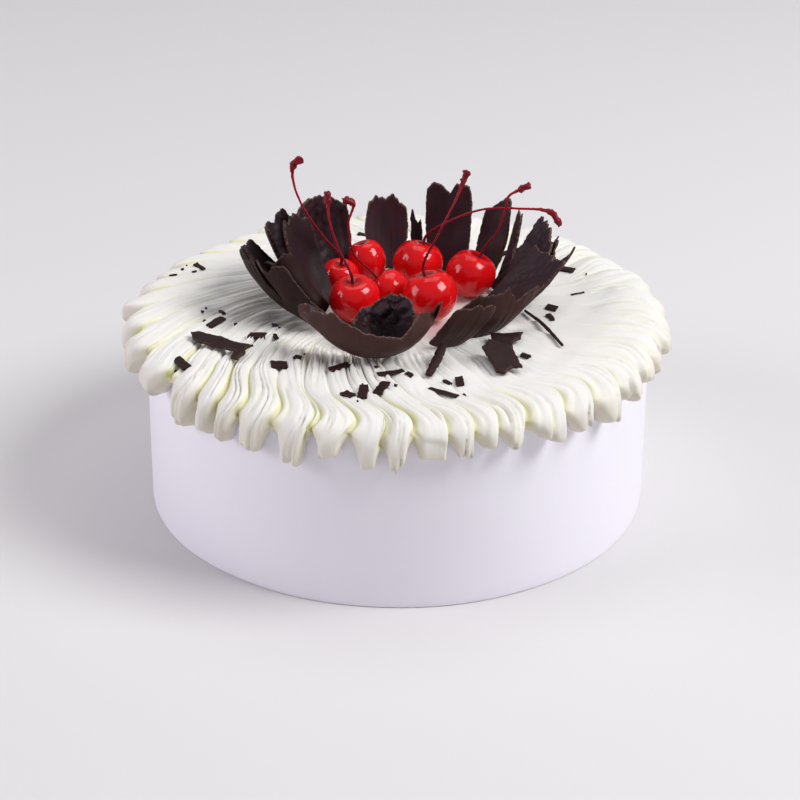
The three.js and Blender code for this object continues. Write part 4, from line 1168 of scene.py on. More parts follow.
# Large flakes, as in the frame: the middle, its height, the turn, the tilt, the bend upwards at the
# ends and the outline.
FLAKES = [
    ("flake_strip", (-68, -36, 79.5), -23, 8, 0.5,
     [(-13.5, 1.4), (-11, 3.4), (-1, 3.2), (7, 1.6), (13.5, 1.2), (11.6, -1.6), (12.8, -4.4),
      (12, -9.6), (8.6, -8.8), (8.4, -4.2), (-2, -3.6), (-11, -2)]),
    ("flake_large", (39.6, -46.5, 79.4), 0, 16, 0.4,
     [(-7.6, 4.6), (-5, 9.6), (4.2, 5.6), (7.6, -6.4), (3.6, -6.4), (1, -10), (-2.6, -9)]),
    ("flake_upper", (43, -27, 77.4), 2, 10, 0.3,
     [(-7, 4), (5.8, 4.2), (4.8, 0.6), (2, -1.4), (0.4, -6), (-7.2, -3)]),
]
FLAKE_THICKNESS = 1.4
FLAKE_GRID = 1.1              # between the points inside an outline
FLAKE_WAVE = 0.12             # how uneven a flake is, and over what size
FLAKE_WAVE_SIZE = 6
FLAKE_THINNING = 0.28         # it is this share thinner at its rim, which is so wide
FLAKE_RIM = 1.5
FLAKE_EDGE = 0.3              # points this near the outline show the broken edge
CHIP_STEP = 0.7               # between an outline's points, and how deep and long its chips are
CHIP_DEPTH = 0.55
CHIP_SIZE = 1.6
# Painted shade: the pieces that lie flat are painted darker, against the light that they catch from
# above.
FLAT_PIECE_SHADE = 0.5              # what lies flat on the cream is darker than the curls

# Slivers: the points along the middle and the width.
SLIVERS = [
    ("sliver_upright", [(11.6, -57.4, 76.6), (14.8, -47.4, 78.1), (17.4, -38.6, 80.5)], 4.6),
    ("sliver_curl", [(50.5, 1, 76.7), (56.6, -12, 77.3), (63.6, -30, 76.5)], 1.8),
]
SLIVER_THICKNESS = 1.2
SLIVER_SIDES = 8
SLIVER_STEPS = 18
SLIVER_NARROWEST = 0.75       # its width varies down to this share, over this many stretches
SLIVER_STRETCHES = 20

# Small shavings scattered on the cream: x, y, length, width and turn.
SCATTERED = [
    (-82, 40, 5, 2, -37), (-92, 31, 3.4, 2, -60), (-71.6, -12.9, 10, 3, 60),
    (-70, -1.7, 7, 1.4, -77), (-54.7, -24, 7, 4, -15), (-48, -15, 4, 1.8, -60),
    (-47.3, -24.8, 5, 1.3, -71),
    (-81.6, -51.9, 10, 3.5, -60), (-45, -48.3, 6.3, 5, 10), (-38.2, -43.6, 3, 2, -36),
    (-22.2, -50, 8.5, 3.2, 40), (-12.8, -72, 9, 3.6, 85), (-18.2, -75, 5, 3.4, -47),
    (-5.9, -68, 9, 3.6, 70), (-2.5, -54.8, 10.5, 2.6, 28), (4.4, -56.4, 3.4, 1.6, -50),
    (23.4, -61.5, 6, 3, -85), (18.6, -63, 3.6, 1.6, -44), (17.2, -71.4, 13.5, 2, -42),
    (49, -38.4, 4.4, 2, -40), (72.7, 18.9, 5.8, 1.4, 11), (61.4, 6, 4.5, 3, -30),
    (60.4, -3.2, 5, 1.8, -70), (-46, 64, 6, 2.4, 30), (-14, 76, 7, 2.6, -20), (20, 68, 5, 3, 50),
    (47, 60, 7.5, 2.4, 10), (70, 40, 5.5, 3, -35),
]


def broken_outline(outline, seed):
    """An outline with its straight runs broken into small uneven steps, inwards only."""
    made = []
    middle = np.mean(outline, axis=0)
    travelled = 0.0
    for n, here in enumerate(outline):
        there = outline[(n + 1) % len(outline)]
        run = np.subtract(there, here)
        length = float(np.hypot(*run))
        count = max(2, round(length / CHIP_STEP))
        side = np.array([-run[1], run[0]]) / length
        if np.dot(middle - np.array(here), side) < 0:
            side = -side
        for k in range(count):
            share = k / count
            chip = CHIP_DEPTH * rough_line(travelled + share * length, seed, CHIP_SIZE)
            chip = chip * math.sin(math.pi * share) ** 0.4
            made.append(np.array(here) + run * share + side * chip)
        travelled += length
    return made


def flake_piece(name, place, turn, tilt, bend, outline, seed):
    """A thin broken plate, slightly curled, with a crumbly rim."""
    rim = broken_outline(outline, seed)
    low = np.min(rim, axis=0)
    high = np.max(rim, axis=0)
    inside = [(x, y) for x in np.arange(low[0], high[0], FLAKE_GRID)
              for y in np.arange(low[1], high[1], FLAKE_GRID)]
    flat = [Vector(p) for p in [*rim, *inside]]
    points, _, triangles, *_ = delaunay_2d_cdt(flat, [], [list(range(len(rim)))], 1, 0.05)
    reach = max(abs(low[0]), high[0])
    rim = np.array(rim)
    front, back, torn = [], [], []
    for p in points:
        wave = float(ripple(p.x, p.y, FLAKE_WAVE_SIZE, seed))
        lift = bend * (p.x / reach) ** 2 + FLAKE_WAVE * wave
        near = float(np.min(np.hypot(rim[:, 0] - p.x, rim[:, 1] - p.y)))
        inner = min(near / FLAKE_RIM, 1)
        thick = FLAKE_THICKNESS / 2 * (1 - FLAKE_THINNING + FLAKE_THINNING * inner)
        front.append((p.x, p.y, lift + thick))
        back.append((p.x, p.y, lift - thick))
        torn.append(0.8 if near < FLAKE_EDGE else 0.0)
    count = len(points)
    faces = [list(t) for t in triangles] + [[count + v for v in reversed(t)] for t in triangles]
    edges = {}
    for t in triangles:
        for a, b in zip(t, (*t[1:], t[0])):
            edges[(a, b)] = True
    faces += [[b, a, count + a, count + b] for a, b in edges if (b, a) not in edges]
    points = [*front, *back]
    piece = mesh_object(name, points, faces, {
        "inner": [0.3] * (2 * count),
        "broken": torn + torn,
        "tone": [FLAT_PIECE_SHADE] * (2 * count),
    }, [(p[0], p[1]) for p in points])
    place_mesh(piece, Vector(place), Matrix.Rotation(math.radians(turn), 4, "Z")
               @ Matrix.Rotation(math.radians(tilt), 4, "X"))
    return piece


def place_mesh(piece, place, turn):
    """Turns and moves the mesh itself, so that its object stays at the origin."""
    piece.data.transform(Matrix.Translation(place * MM) @ turn)


def sliver_piece(name, way, width, seed):
    """A narrow splinter of chocolate with a ridge along it."""
    line = curve_points([Vector(p) for p in way], SLIVER_STEPS)
    points = []
    for i, middle in enumerate(line):
        share = i / (len(line) - 1)
        along = (line[min(i + 1, len(line) - 1)] - line[max(i - 1, 0)]).normalized()
        side = Vector((along.y, -along.x, 0)).normalized()
        up = side.cross(along).normalized()
        half = width / 4 * (1 + math.sin(math.pi * (0.1 + 0.75 * share)))
        half *= lerp(SLIVER_NARROWEST, 1.0, rough_line(share * SLIVER_STRETCHES, seed, 1.3))
        for k in range(SLIVER_SIDES):
            turn = math.tau * k / SLIVER_SIDES + 0.4
            points.append(middle + side * half * math.cos(turn)
                          + up * SLIVER_THICKNESS / 2 * math.sin(turn))
    points += [line[0], line[-1]]
    count = len(points)
    torn = [0.7 if i % 5 == 0 else 0.1 for i in range(count)]
    return mesh_object(name, [tuple(p) for p in points], tube_faces(len(line), SLIVER_SIDES),
                       {"inner": [0.2] * count, "broken": torn, "tone": [FLAT_PIECE_SHADE] * count},
                       [(p.x, p.y) for p in points])


def curve_points(points, steps):
    """A centripetal Catmull-Rom curve through the points, with this many steps to a stretch."""
    ends = [points[0] * 2 - points[1], *points, points[-1] * 2 - points[-2]]
    made = []
    for p0, p1, p2, p3 in zip(ends, ends[1:], ends[2:], ends[3:]):
        d0, d1, d2 = ((b - a).length ** 0.5 for a, b in ((p0, p1), (p1, p2), (p2, p3)))
        t1 = ((p1 - p0) / d0 - (p2 - p0) / (d0 + d1) + (p2 - p1) / d1) * d1
        t2 = ((p2 - p1) / d1 - (p3 - p1) / (d1 + d2) + (p3 - p2) / d2) * d1
        for k in range(steps):
            t = k / steps
            made.append(p1 + t1 * t + (p1 * -3 + p2 * 3 - t1 * 2 - t2) * t ** 2
                        + (p1 * 2 - p2 * 2 + t1 + t2) * t ** 3)
    made.append(points[-1])
    return made


def shaving_tree():
    """Scatters small broken plates: one on each point, by the point's own size and turn, and then
    gives every plate an outline and a bend of its own."""
    tree, source, sink = tree_with("Scattered shavings", [
        ("Thickness", 0.8 * MM),
        ("Chip depth", 0.9 * MM),
        ("Chip size", 1.8 * MM),
        ("Seed", 3.0),
    ])
    plate_size, plate_turn = (
        add(tree, "GeometryNodeInputNamedAttribute", {"Name": key}, data_type="FLOAT_VECTOR")
        for key in ("plate_size", "plate_turn"))
    plate = add(tree, "GeometryNodeMeshCube", {
        "Size": (1.0, 1.0, 1.0),
        "Vertices X": 7,
        "Vertices Y": 5,
        "Vertices Z": 2,
    })
    height = add(tree, "ShaderNodeCombineXYZ", {"Z": source.outputs["Thickness"]})
    size = add(tree, "ShaderNodeVectorMath", {0: plate_size, 1: height}, operation="ADD")
    placed = add(tree, "GeometryNodeInstanceOnPoints", {
        "Points": source.outputs["Geometry"],
        "Instance": plate,
        "Rotation": plate_turn,
        "Scale": size,
    })
    real = add(tree, "GeometryNodeRealizeInstances", {"Geometry": placed})
    place = add(tree, "GeometryNodeInputPosition")
    pace = add(tree, "ShaderNodeMath", {0: 1.0, 1: source.outputs["Chip size"]},
               operation="DIVIDE")
    noise = add(tree, "ShaderNodeTexNoise", {
        "Vector": place,
        "W": source.outputs["Seed"],
        "Scale": pace,
        "Detail": 2.0,
    }, noise_dimensions="4D")
    centred = add(tree, "ShaderNodeVectorMath", {0: noise.outputs["Color"], 1: (0.5, 0.5, 0.5)},
                  operation="SUBTRACT")
    level = add(tree, "ShaderNodeVectorMath", {0: centred, 1: (2.0, 2.0, 0.5)},
                operation="MULTIPLY")
    depth = add(tree, "ShaderNodeVectorMath", {0: level, "Scale": source.outputs["Chip depth"]},
                operation="SCALE")
    chipped = add(tree, "GeometryNodeSetPosition", {"Geometry": real, "Offset": depth})
    close_tree(tree, source, sink, chipped)
    return tree


# ------------------------------------------------------------------ cherries and stems

# The cherries, as in the frame: where one rests, its radius, how long and slim it is, and the
# direction and angle that its stem end leans by.
CHERRIES = {
    "front_left": ((-17.2, -6.6), 10.0, 1.0, 1.0, (-120, 12)),
    "front_right": ((12.4, -5.0), 10.9, 1.0, 1.0, (150, 16)),
    "low_middle": ((-3.9, 6.0), 8.2, 1.0, 1.0, (160, 48)),
    "back_left": ((-12.8, 30.4), 9.0, 1.1, 0.88, (150, 18)),
    "back_middle": ((8.0, 27.6), 10.4, 1.0, 1.0, (40, 20)),
    "right": ((29.2, 18.4), 10.1, 1.0, 1.0, (10, 26)),
    "far_left": ((-23.6, 19.2), 7.8, 1.0, 1.0, (-60, 10)),
}
CHERRY_SQUASH = 0.97
CHERRY_STAND = 0.98
# The dimple: its depth and spread, and how far its painted shade of darker red reaches.
DIMPLE_DEPTH = 2.2
DIMPLE_SPREAD = 0.42          # radians from the stem end
DIMPLE_SHADE_REACH = 0.36            # and so far its darker red reaches
CHERRY_SIDES = 64
CHERRY_STEPS = 44
SEAM_DEPTH = 0.25
SEAM_WIDTH = 0.16             # radians
SEAM_FOOT = -1                # it ends at this angle above the level, in radians

# The stems pass these points after they leave the dimple, on the way to the bud end.
STEMS = {
    "front_left": [(-23.6, -9, 108), (-26.8, -12, 121), (-27.4, -13, 132.5)],
    "front_right": [(15.2, -6, 112), (21.6, -8, 127), (26.2, -9, 140)],
    "low_middle": [(-17.6, 6, 98.5), (-19.8, 5, 112), (-17.8, 4, 121), (-21.6, 3, 123)],
    "back_middle": [(22, 21, 107.6), (34, 16, 114), (47, 12, 116), (60, 8, 116), (63.4, 6, 111.5)],
    "right": [(39.5, 14, 106), (42.2, 11, 117), (43, 9, 122.4), (51.4, 7, 128)],
    "far_left": [(-30.5, 12, 104), (-37.4, 6, 118), (-41, 4, 129), (-41, 3, 137.4),
                 (-37.4, 3, 140)],
}
STEM_RISE = 4.0
STEM_SUNK = 0.6               # the stem starts this far inside the dimple
# The stem's radius along it, as a share of the thickest of the bud.
STEM_PROFILE = [(0.0, 0.44), (0.08, 0.34), (0.45, 0.28), (0.8, 0.32), (0.88, 0.46), (0.915, 0.84),
                (0.945, 0.66), (0.975, 0.92), (1.0, 0.5)]


def lean_turn(lean):
    direction, angle = lean
    axis = Vector((-math.sin(math.radians(direction)), math.cos(math.radians(direction)), 0))
    return Quaternion(axis, math.radians(angle))


def cherry_centre(cherry):
    at, radius, long, _, _ = cherry
    return Vector((*at, FOOT_Z + radius * long * CHERRY_STAND))


def cherry_mesh(name, cherry, seed):
    """A syrupy cherry: a slightly lopsided ball with a seam down one side and a dimple on top."""
    _, radius, long, slim, lean = cherry
    points, dimple_shades = [], []
    seam_turn = math.tau * uneven(seed, 3)
    for i in range(1, CHERRY_STEPS):
        angle = -math.pi / 2 + math.pi * i / CHERRY_STEPS
        down = math.pi / 2 - angle
        pit = math.exp(-((down / DIMPLE_SPREAD) ** 2))
        for k in range(CHERRY_SIDES):
            turn = math.tau * k / CHERRY_SIDES
            away = math.atan2(math.sin(turn - seam_turn), math.cos(turn - seam_turn))
            seam = SEAM_DEPTH * math.exp(-((away / SEAM_WIDTH) ** 2)) * math.sin(down)
            seam *= angle > SEAM_FOOT
            lopsided = 1 + 0.018 * math.sin(2 * turn + seed)
            lopsided += 0.014 * math.sin(3 * turn + 2 * angle)
            across = (radius * lopsided - seam) * math.cos(angle)
            depth = pit * DIMPLE_DEPTH * lerp(0.9, 1.15, 0.5 + 0.5 * math.sin(turn + seed))
            points.append((across * math.cos(turn) * slim, across * math.sin(turn) * slim,
                           (radius * CHERRY_SQUASH * math.sin(angle) - depth) * long))
            dimple_shades.append(math.exp(-((down / DIMPLE_SHADE_REACH) ** 4)))
    points.append((0, 0, -radius * CHERRY_SQUASH * long))
    points.append((0, 0, (radius * CHERRY_SQUASH - DIMPLE_DEPTH) * long))
    dimple_shades += [0.0, 1.0]
    faces = tube_faces(CHERRY_STEPS - 1, CHERRY_SIDES, rising=True)
    piece = mesh_object(f"candied_{name}", points, faces, {"dimple": dimple_shades})
    place_mesh(piece, cherry_centre(cherry), lean_turn(lean).to_matrix().to_4x4())
    return piece


def stem_line(name, cherry):
    """The stem's middle line as a poly curve, out of the dimple and past its points."""
    _, radius, long, _, lean = cherry
    up = lean_turn(lean) @ Vector((0, 0, 1))
    start = (radius * CHERRY_SQUASH - DIMPLE_DEPTH) * long - STEM_SUNK
    way = [cherry_centre(cherry) + up * d for d in (start, start + STEM_RISE)]
    way += [Vector(point) for point in STEMS[name]]
    line = curve_points(way, 12)
    curve = bpy.data.curves.new(f"stalk_{name}", "CURVE")
    curve.dimensions = "3D"
    spline = curve.splines.new("POLY")
    spline.points.add(len(line) - 1)
    for point, place in zip(spline.points, line):
        point.co = (*(place * MM), 1.0)
    return link_piece(f"stalk_{name}", curve)


def stem_tree():
    """A tapered stalk along a curve: thin in the middle, a little wider in the dimple, with a rough
    knob at the picked end."""
    tree, source, sink = tree_with("Cherry stalk", [
        ("Bud radius", 1.6 * MM),
        ("Roughness", 1.15 * MM),
        ("Seed", 1.0),
    ])
    line = add(tree, "GeometryNodeResampleCurve", {
        "Curve": source.outputs["Geometry"],
        "Count": 90,
    })
    share = add(tree, "GeometryNodeSplineParameter")
    profile = add(tree, "ShaderNodeFloatCurve", {"Value": share})
    points = profile.mapping.curves[0].points
    points[0].location = STEM_PROFILE[0]
    points[1].location = STEM_PROFILE[-1]
    for place in STEM_PROFILE[1:-1]:
        points.new(*place)
    profile.mapping.update()
    kept = add(tree, "GeometryNodeStoreNamedAttribute", {
        "Geometry": line,
        "Name": "along",
        "Value": share,
    }, data_type="FLOAT", domain="POINT")
    ring = add(tree, "GeometryNodeCurvePrimitiveCircle", {
        "Resolution": 14,
        "Radius": source.outputs["Bud radius"],
    })
    tube = add(tree, "GeometryNodeCurveToMesh", {
        "Curve": kept,
        "Profile Curve": ring,
        "Scale": profile,
        "Fill Caps": True,
    })
    # The stalk is rough all along, and the knob much more so: bark 1.1 mm across.
    along = add(tree, "GeometryNodeInputNamedAttribute", {"Name": "along"}, data_type="FLOAT")
    knob = add(tree, "ShaderNodeMapRange", {
        "Value": along,
        "From Min": 0.82,
        "From Max": 0.92,
        "To Min": 0.12,
        "To Max": 1.0,
    })
    place = add(tree, "GeometryNodeInputPosition")
    noise = add(tree, "ShaderNodeTexNoise", {
        "Vector": place,
        "W": source.outputs["Seed"],
        "Scale": 1 / (1.1 * MM),
        "Detail": 3.0,
    }, noise_dimensions="4D")
    centred = add(tree, "ShaderNodeMath", {0: noise, 1: 0.5}, operation="SUBTRACT")
    amount = add(tree, "ShaderNodeMath", {0: centred, 1: knob}, operation="MULTIPLY")
    height = add(tree, "ShaderNodeMath", {0: amount, 1: source.outputs["Roughness"]},
                 operation="MULTIPLY")
    whole = add(tree, "ShaderNodeMath", {0: height, 1: 3.0}, operation="MULTIPLY")
    normal = add(tree, "GeometryNodeInputNormal")
    offset = add(tree, "ShaderNodeVectorMath", {0: normal, "Scale": whole}, operation="SCALE")
    rough = add(tree, "GeometryNodeSetPosition", {"Geometry": tube, "Offset": offset})
    round_off = add(tree, "GeometryNodeSetShadeSmooth", {"Geometry": rough})
    close_tree(tree, source, sink, round_off)
    return tree


# ------------------------------------------------------------------ what lies on the cream

CRUMBS = 26
CRUMB_SPREAD = 9.0            # crumbs lie within this distance of the shaving they broke off
CRUMB_SEED = 77
CRUMB_SIZES = (0.5, 1.5)
PLATE_RISE = 0.35             # a plate lies this share of the way up the bumps under it
PLATE_SHOWS = 0.3             # and rises by this share of its thickness
PLATE_TILT = 7                # degrees


def scattered_rows():
    """The shavings of the table, and crumbs that broke off them."""
    rows = [(*row, 1.0) for row in SCATTERED]
    for i in range(CRUMBS):
        near = SCATTERED[int(len(SCATTERED) * uneven(i, CRUMB_SEED))]
        away = CRUMB_SPREAD * lerp(0.4, 1.0, uneven(i, CRUMB_SEED + 5))
        turn = math.tau * uneven(i, CRUMB_SEED + 1)
        size = lerp(*CRUMB_SIZES, uneven(i, CRUMB_SEED + 2) ** 2)
        rows.append((near[0] + away * math.cos(turn), near[1] + away * math.sin(turn), size,
                     size * lerp(0.5, 0.9, uneven(i, CRUMB_SEED + 3)),
                     360 * uneven(i, CRUMB_SEED + 4), 0.0))
    return rows


def rest_on(surface, x, y, length, width, turn):
    """The plane that a small plate lies in on an uneven surface: its middle and its turn."""
    along = Vector((math.cos(turn), math.sin(turn), 0))
    across = Vector((-along.y, along.x, 0))
    spots = []
    for i in range(-2, 3):
        for j in range(-1, 2):
            spot = Vector((x, y, 0)) + along * length * i / 4 + across * width * j / 2
            above = Vector((spot.x, spot.y, CREAM_TOP + 30)) * MM
            hit = surface.ray_cast(above, Vector((0, 0, -1)))
            if hit[0] is None:
                raise RuntimeError(f"no cream under the shaving at {x:.1f}, {y:.1f}")
            spots.append((length * i / 4, width * j / 2, hit[0].z / MM))
    spots = np.array(spots)
    table = np.column_stack([spots[:, :2], np.ones(len(spots))])
    (tilt_x, tilt_y, height), *_ = np.linalg.lstsq(table, spots[:, 2], rcond=None)
    normal = (Vector((0, 0, 1)) - along * float(tilt_x) - across * float(tilt_y)).normalized()
    ahead = (along - normal * along.dot(normal)).normalized()
    frame_turn = Matrix((ahead, normal.cross(ahead), normal)).transposed()
    highest = float(np.max(spots[:, 2] - table @ (tilt_x, tilt_y, height)))
    return Vector((x, y, float(height) + PLATE_RISE * highest)), frame_turn


def scattered_points(cream, thickness):
    """A cloud of points, one for each plate, that keeps its size and its turn."""
    view = bpy.context.evaluated_depsgraph_get()
    view.update()
    surface = BVHTree.FromObject(cream, view)
    places, sizes, turns = [], [], []
    for i, (x, y, length, width, turn, tipped) in enumerate(scattered_rows()):
        middle, rest = rest_on(surface, x, y, length, width, math.radians(turn))
        tilt = PLATE_TILT * tipped * (uneven(i, 5) - 0.5)
        tip = Matrix.Rotation(math.radians(tilt), 3, "X")
        places.append(middle + rest.col[2] * thickness * PLATE_SHOWS)
        sizes.append((length * MM, width * MM, 0.0))
        turns.append(tuple((rest @ tip).to_euler()))
    cloud = bpy.data.meshes.new("small_shavings")
    cloud.from_pydata([tuple(p * MM) for p in places], [], [])
    store_vectors(cloud, "plate_size", sizes)
    store_vectors(cloud, "plate_turn", turns)
    return link_piece("small_shavings", cloud)


# ------------------------------------------------------------------ the smooth side

COAT_SIDES = 256
COAT_ROWS = 24                # up the wall, and points round its foot and its top edge
COAT_FOOT_POINTS = 6
COAT_TOP_POINTS = 7
COAT_FOOT_EDGE = 0.8
COAT_TOP_EDGE = 1.5
COAT_SWELL = 60               # the wall is out of true in swells about this size


def coat_mesh(sizes):
    """The side as the scraper left it: a turned wall with a soft foot, a hair out of true."""
    profile = []
    for angle in np.radians(np.linspace(-90, 0, COAT_FOOT_POINTS)):
        profile.append((CAKE_RADIUS - COAT_FOOT_EDGE * (1 - math.cos(angle)),
                        COAT_FOOT_EDGE * (1 + math.sin(angle))))
    for z in np.linspace(COAT_FOOT_EDGE, CAKE_HEIGHT - COAT_TOP_EDGE, COAT_ROWS)[1:]:
        profile.append((CAKE_RADIUS, float(z)))
    for angle in np.radians(np.linspace(0, 90, COAT_TOP_POINTS))[1:]:
        profile.append((CAKE_RADIUS - COAT_TOP_EDGE * (1 - math.cos(angle)),
                        CAKE_HEIGHT - COAT_TOP_EDGE * (1 - math.sin(angle))))
    turns = np.arange(COAT_SIDES) * math.tau / COAT_SIDES
    points = []
    for radius, z in profile:
        wave = ripple(np.sin(turns) * 100, np.cos(turns) * 100 + z, COAT_SWELL, seed=9)
        swell = sizes.coat_waviness / MM * (0.5 + 0.5 * wave)
        out = radius - np.clip(swell, 0, None)
        points.append(np.column_stack([out * np.cos(turns), out * np.sin(turns),
                                       np.full(COAT_SIDES, z)]))
    points.append([[0, 0, 0], [0, 0, CAKE_HEIGHT]])
    faces = tube_faces(len(profile), COAT_SIDES, rising=True)
    return mesh_object("smooth_coat", np.vstack(points), faces)


# ------------------------------------------------------------------ settings


def length_setting(name, description, millimetres, least=0.0):
    return bpy.props.FloatProperty(name=name, description=description, default=millimetres * MM,
                                   min=least * MM, subtype="DISTANCE", unit="LENGTH")


def colour_setting(name, description, hex_colour):
    return bpy.props.FloatVectorProperty(name=name, description=description, size=3, min=0.0,
                                         max=1.0, default=linear(hex_colour), subtype="COLOR")


class CakeSizes(bpy.types.PropertyGroup):
    column_step: bpy.props.FloatProperty(
        name="Column step", description="Angle between columns of points round the cream",
        default=math.radians(0.36), min=math.radians(0.2), subtype="ANGLE")
    top_rows: bpy.props.IntProperty(
        name="Top rows", description="Rows of points from the flower to the shoulder",
        default=46, min=10)
    side_rows: bpy.props.IntProperty(
        name="Side rows", description="Rows of points down the hanging lobes", default=24, min=6)
    hem_rows: bpy.props.IntProperty(
        name="Hem rows", description="Rows of points under the noses of the lobes",
        default=8, min=3)
    rib_height: length_setting(
        "Rib height", "Height of a nozzle rib on the strongest lobes", 1.0)
    unevenness: length_setting(
        "Unevenness", "Uneven swells of the piped cream, made by hand", 0.2)
    coat_waviness: length_setting(
        "Coat waviness", "How far the smooth side is out of true", 0.25)
    thickness: length_setting(
        "Petal thickness", "Thickness of a curled chocolate shaving", 1.5, least=0.5)
    chips: length_setting(
        "Chips", "Depth of the bites in a petal's torn edge", 2.6)
    fibres: length_setting(
        "Fibres", "Height of the fine ridges along a petal", 0.08)
    creases: length_setting(
        "Creases", "Depth of the soft creases of a petal", 0.3)
    plate_thickness: length_setting(
        "Shaving thickness", "Thickness of the small scattered shavings", 1.0, least=0.2)
    bud_radius: length_setting(
        "Stalk end radius", "Radius of the knob at a stalk's picked end", 1.6, least=0.4)


class CakeColours(bpy.types.PropertyGroup):
    coat: colour_setting("Smooth coat", "Cream drawn smooth round the side", "#f5f2fc")
    cream: colour_setting("Piped cream", "Whipped cream of the top and the lobes", "#eeedeb")
    chocolate: colour_setting("Chocolate", "Outer face of the shavings", "#371f1c")
    chocolate_bloom: colour_setting("Chocolate bloom", "Paler patches of the outer face", "#482e2a")
    # The inner face's painted sheen.
    chocolate_inner_sheen: colour_setting("Chocolate inside", "Inner face of the shavings", "#33252c")
    cherry: colour_setting("Cherry", "Skin of the candied cherries", "#ec1219")
    stem: colour_setting("Stalk", "Cherry stalks dyed by the syrup", "#90182a")
    floor: colour_setting("Floor", "The table the cake stands on", "#dcdadb")


# ------------------------------------------------------------------ operators


class CAKE_OT_coat(bpy.types.Operator):
    """Coat the side with smooth cream"""

    bl_idname = "cake.coat"
    bl_label = "Smooth coat"

    def execute(self, context):
        scene = context.scene
        piece = coat_mesh(scene.cake_sizes)
        fit_piece(piece, ["cake_body"], smoothed_coat(scene.cake_colours))
        return {"FINISHED"}


class CAKE_OT_cream(bpy.types.Operator):
    """Pipe the cream on the top and over the rim"""

    bl_idname = "cake.cream"
    bl_label = "Piped cream"

    def execute(self, context):
        scene = context.scene
        sizes = scene.cake_sizes
        piece = grow(cream_mesh(sizes), rib_tree(), {"Rib height": sizes.rib_height / MM},
                     whipped_cream(scene.cake_colours))
        fit_piece(piece, ["piped_cream"])
        return {"FINISHED"}


class CAKE_OT_flower(bpy.types.Operator):
    """Stand the curled shavings in the cream, each new one nested against the others"""

    bl_idname = "cake.flower"
    bl_label = "Chocolate flower"

    def execute(self, context):
        scene = context.scene
        material = dark_chocolate("dark_chocolate_curls", scene.cake_colours)
        rooms = []
        for petal in PETALS:
            piece = give_way(petal_mesh(petal, scene.cake_sizes), rooms)
            fit_piece(piece, [f"petal_{petal['name']}"], material)
            rooms.append(petal_room(petal))
        for room in rooms:
            bpy.data.objects.remove(room)
        return {"FINISHED"}


class CAKE_OT_flakes(bpy.types.Operator):
    """Lay the large flakes and the long splinters on the cream"""

    bl_idname = "cake.flakes"
    bl_label = "Large flakes"

    def execute(self, context):
        material = dark_chocolate("dark_chocolate_flakes", context.scene.cake_colours)
        for seed, (name, place, turn, tilt, bend, outline) in enumerate(FLAKES):
            piece = flake_piece(f"broken_{name}", place, turn, tilt, bend, outline, seed + 30)
            fit_piece(piece, [name], material)
        for seed, (name, way, width) in enumerate(SLIVERS):
            piece = sliver_piece(f"broken_{name}", way, width, seed + 40)
            fit_piece(piece, [name], material)
        return {"FINISHED"}


class CAKE_OT_shavings(bpy.types.Operator):
    """Scatter the small shavings and the crumbs over the cream"""

    bl_idname = "cake.shavings"
    bl_label = "Small shavings"

    def execute(self, context):
        scene = context.scene
        thickness = scene.cake_sizes.plate_thickness
        cream = bpy.data.objects.get("cream_cap")
        if cream is None:
            raise RuntimeError("pipe the cream first: the small shavings lie on it")
        material = dark_chocolate("dark_chocolate_crumbs", scene.cake_colours, grain_map=False)
        piece = grow(scattered_points(cream, thickness / MM), shaving_tree(),
                     {"Thickness": thickness}, material)
        fit_piece(piece, ["piped_cream"])
        return {"FINISHED"}


class CAKE_OT_cherries(bpy.types.Operator):
    """Put the cherries in the middle of the flower"""

    bl_idname = "cake.cherries"
    bl_label = "Cherries"

    def execute(self, context):
        material = candied_cherry(context.scene.cake_colours)
        for seed, (name, cherry) in enumerate(CHERRIES.items()):
            fit_piece(cherry_mesh(name, cherry, seed + 1), [f"cherry_{name}"], material)
        return {"FINISHED"}


class CAKE_OT_stalks(bpy.types.Operator):
    """Grow a stalk out of each cherry that keeps one"""

    bl_idname = "cake.stalks"
    bl_label = "Cherry stalks"

    def execute(self, context):
        scene = context.scene
        material = dyed_stem(scene.cake_colours)
        tree = stem_tree()
        for seed, name in enumerate(STEMS):
            piece = grow(stem_line(name, CHERRIES[name]), tree, {
                "Bud radius": scene.cake_sizes.bud_radius,
                "Seed": float(seed),
            }, material)
            fit_piece(piece, [f"stem_{name}"])
        return {"FINISHED"}


# The camera: where it is (millimetres), how far it looks down, its small turn and roll (degrees).
CAMERA_PLACE = (0, -866.8, 476.9)
CAMERA_DOWN = 26.91
CAMERA_TURN = 0.07
CAMERA_ROLL = 0.49
CAMERA_LENS = 108.0
CAMERA_SENSOR = 36.0
CAMERA_CLIP = (0.05, 30.0)    # metres

# Soft lights: name, place, aim (metres), width and height, power and colour.
LIGHTS = [
    ("key_softbox", (1.25, -0.32, 1.35), (0.0, 0.0, 0.05), (0.9, 0.9), 27.0, "#ffffff"),
    ("top_softbox", (0.1, 0.5, 1.6), (0.0, 0.0, 0.08), (1.2, 1.0), 6.0, "#ffffff"),
    ("fill_softbox", (-1.5, -0.25, 0.7), (0.0, 0.0, 0.05), (0.9, 1.0), 12.0, "#fdf8ff"),
]
WORLD_STRENGTH = 0.27
FLOOR_REACH = 6000


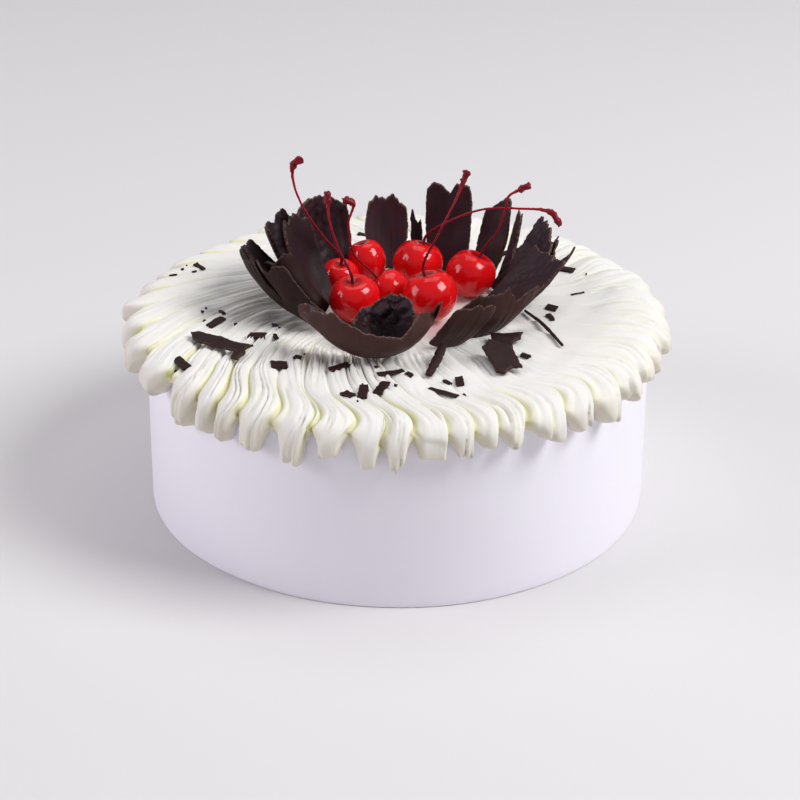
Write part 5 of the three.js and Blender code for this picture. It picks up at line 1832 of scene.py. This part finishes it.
class CAKE_OT_stage(bpy.types.Operator):
    """Set the pale table, the soft lights and the camera"""

    bl_idname = "cake.stage"
    bl_label = "Stage"

    def execute(self, context):
        scene = context.scene
        corners = [(x * FLOOR_REACH, y * FLOOR_REACH, 0)
                   for x, y in ((-1, -1), (1, -1), (1, 1), (-1, 1))]
        floor = mesh_object("table_top", corners, [[0, 1, 2, 3]], is_smooth=False)
        floor.data.materials.append(studio_floor(scene.cake_colours))
        for name, place, aim, size, power, colour in LIGHTS:
            light = bpy.data.lights.new(name, "AREA")
            light.shape = "RECTANGLE"
            light.size, light.size_y = size
            light.energy = power
            light.color = linear(colour)
            lamp = link_piece(name, light)
            lamp.location = place
            away = Vector(place) - Vector(aim)
            lamp.rotation_euler = away.to_track_quat("Z", "Y").to_euler()
        world = bpy.data.worlds.new("studio")
        world.use_nodes = True
        background = world.node_tree.nodes["Background"]
        background.inputs["Color"].default_value = rgba("#fbfaff")
        background.inputs["Strength"].default_value = WORLD_STRENGTH
        scene.world = world
        scene.view_settings.view_transform = "Standard"
        scene.camera = self.camera()
        return {"FINISHED"}

    def camera(self):
        down, turn, roll = (math.radians(a) for a in (CAMERA_DOWN, CAMERA_TURN, CAMERA_ROLL))
        ahead = Vector((math.sin(turn) * math.cos(down), math.cos(turn) * math.cos(down),
                        -math.sin(down)))
        level = Vector((math.cos(turn), -math.sin(turn), 0))
        upright = level.cross(ahead)
        right = level * math.cos(roll) + upright * math.sin(roll)
        up = upright * math.cos(roll) - level * math.sin(roll)
        lens = bpy.data.cameras.new("camera")
        lens.lens = CAMERA_LENS
        lens.sensor_width = CAMERA_SENSOR
        lens.clip_start, lens.clip_end = CAMERA_CLIP
        eye = link_piece("camera", lens)
        eye.matrix_world = (Matrix.Translation(Vector(CAMERA_PLACE) * MM)
                            @ Matrix((right, up, -ahead)).transposed().to_4x4())
        return eye


class CAKE_PT_panel(bpy.types.Panel):
    """The parts of the cake and their settings"""

    bl_label = "Black Forest Cake"
    bl_idname = "CAKE_PT_panel"
    bl_space_type = "VIEW_3D"
    bl_region_type = "UI"
    bl_category = "Cake"

    def draw(self, context):
        layout = self.layout
        for operator in OPERATORS:
            layout.operator(operator.bl_idname)
        for settings in (context.scene.cake_sizes, context.scene.cake_colours):
            box = layout.box()
            for name in settings.__annotations__:
                box.prop(settings, name)


OPERATORS = (CAKE_OT_coat, CAKE_OT_cream, CAKE_OT_flower, CAKE_OT_flakes, CAKE_OT_shavings,
             CAKE_OT_cherries, CAKE_OT_stalks, CAKE_OT_stage)
CLASSES = (CakeSizes, CakeColours, *OPERATORS, CAKE_PT_panel)


def register():
    for cls in CLASSES:
        bpy.utils.register_class(cls)
    bpy.types.Scene.cake_sizes = bpy.props.PointerProperty(type=CakeSizes)
    bpy.types.Scene.cake_colours = bpy.props.PointerProperty(type=CakeColours)


def unregister():
    del bpy.types.Scene.cake_colours
    del bpy.types.Scene.cake_sizes
    for cls in reversed(CLASSES):
        bpy.utils.unregister_class(cls)


def main():
    register()
    bpy.ops.cake.coat()
    bpy.ops.cake.cream()
    bpy.ops.cake.flower()
    bpy.ops.cake.flakes()
    bpy.ops.cake.shavings()
    bpy.ops.cake.cherries()
    bpy.ops.cake.stalks()
    bpy.ops.cake.stage()


if __name__ == "__main__":
    main()
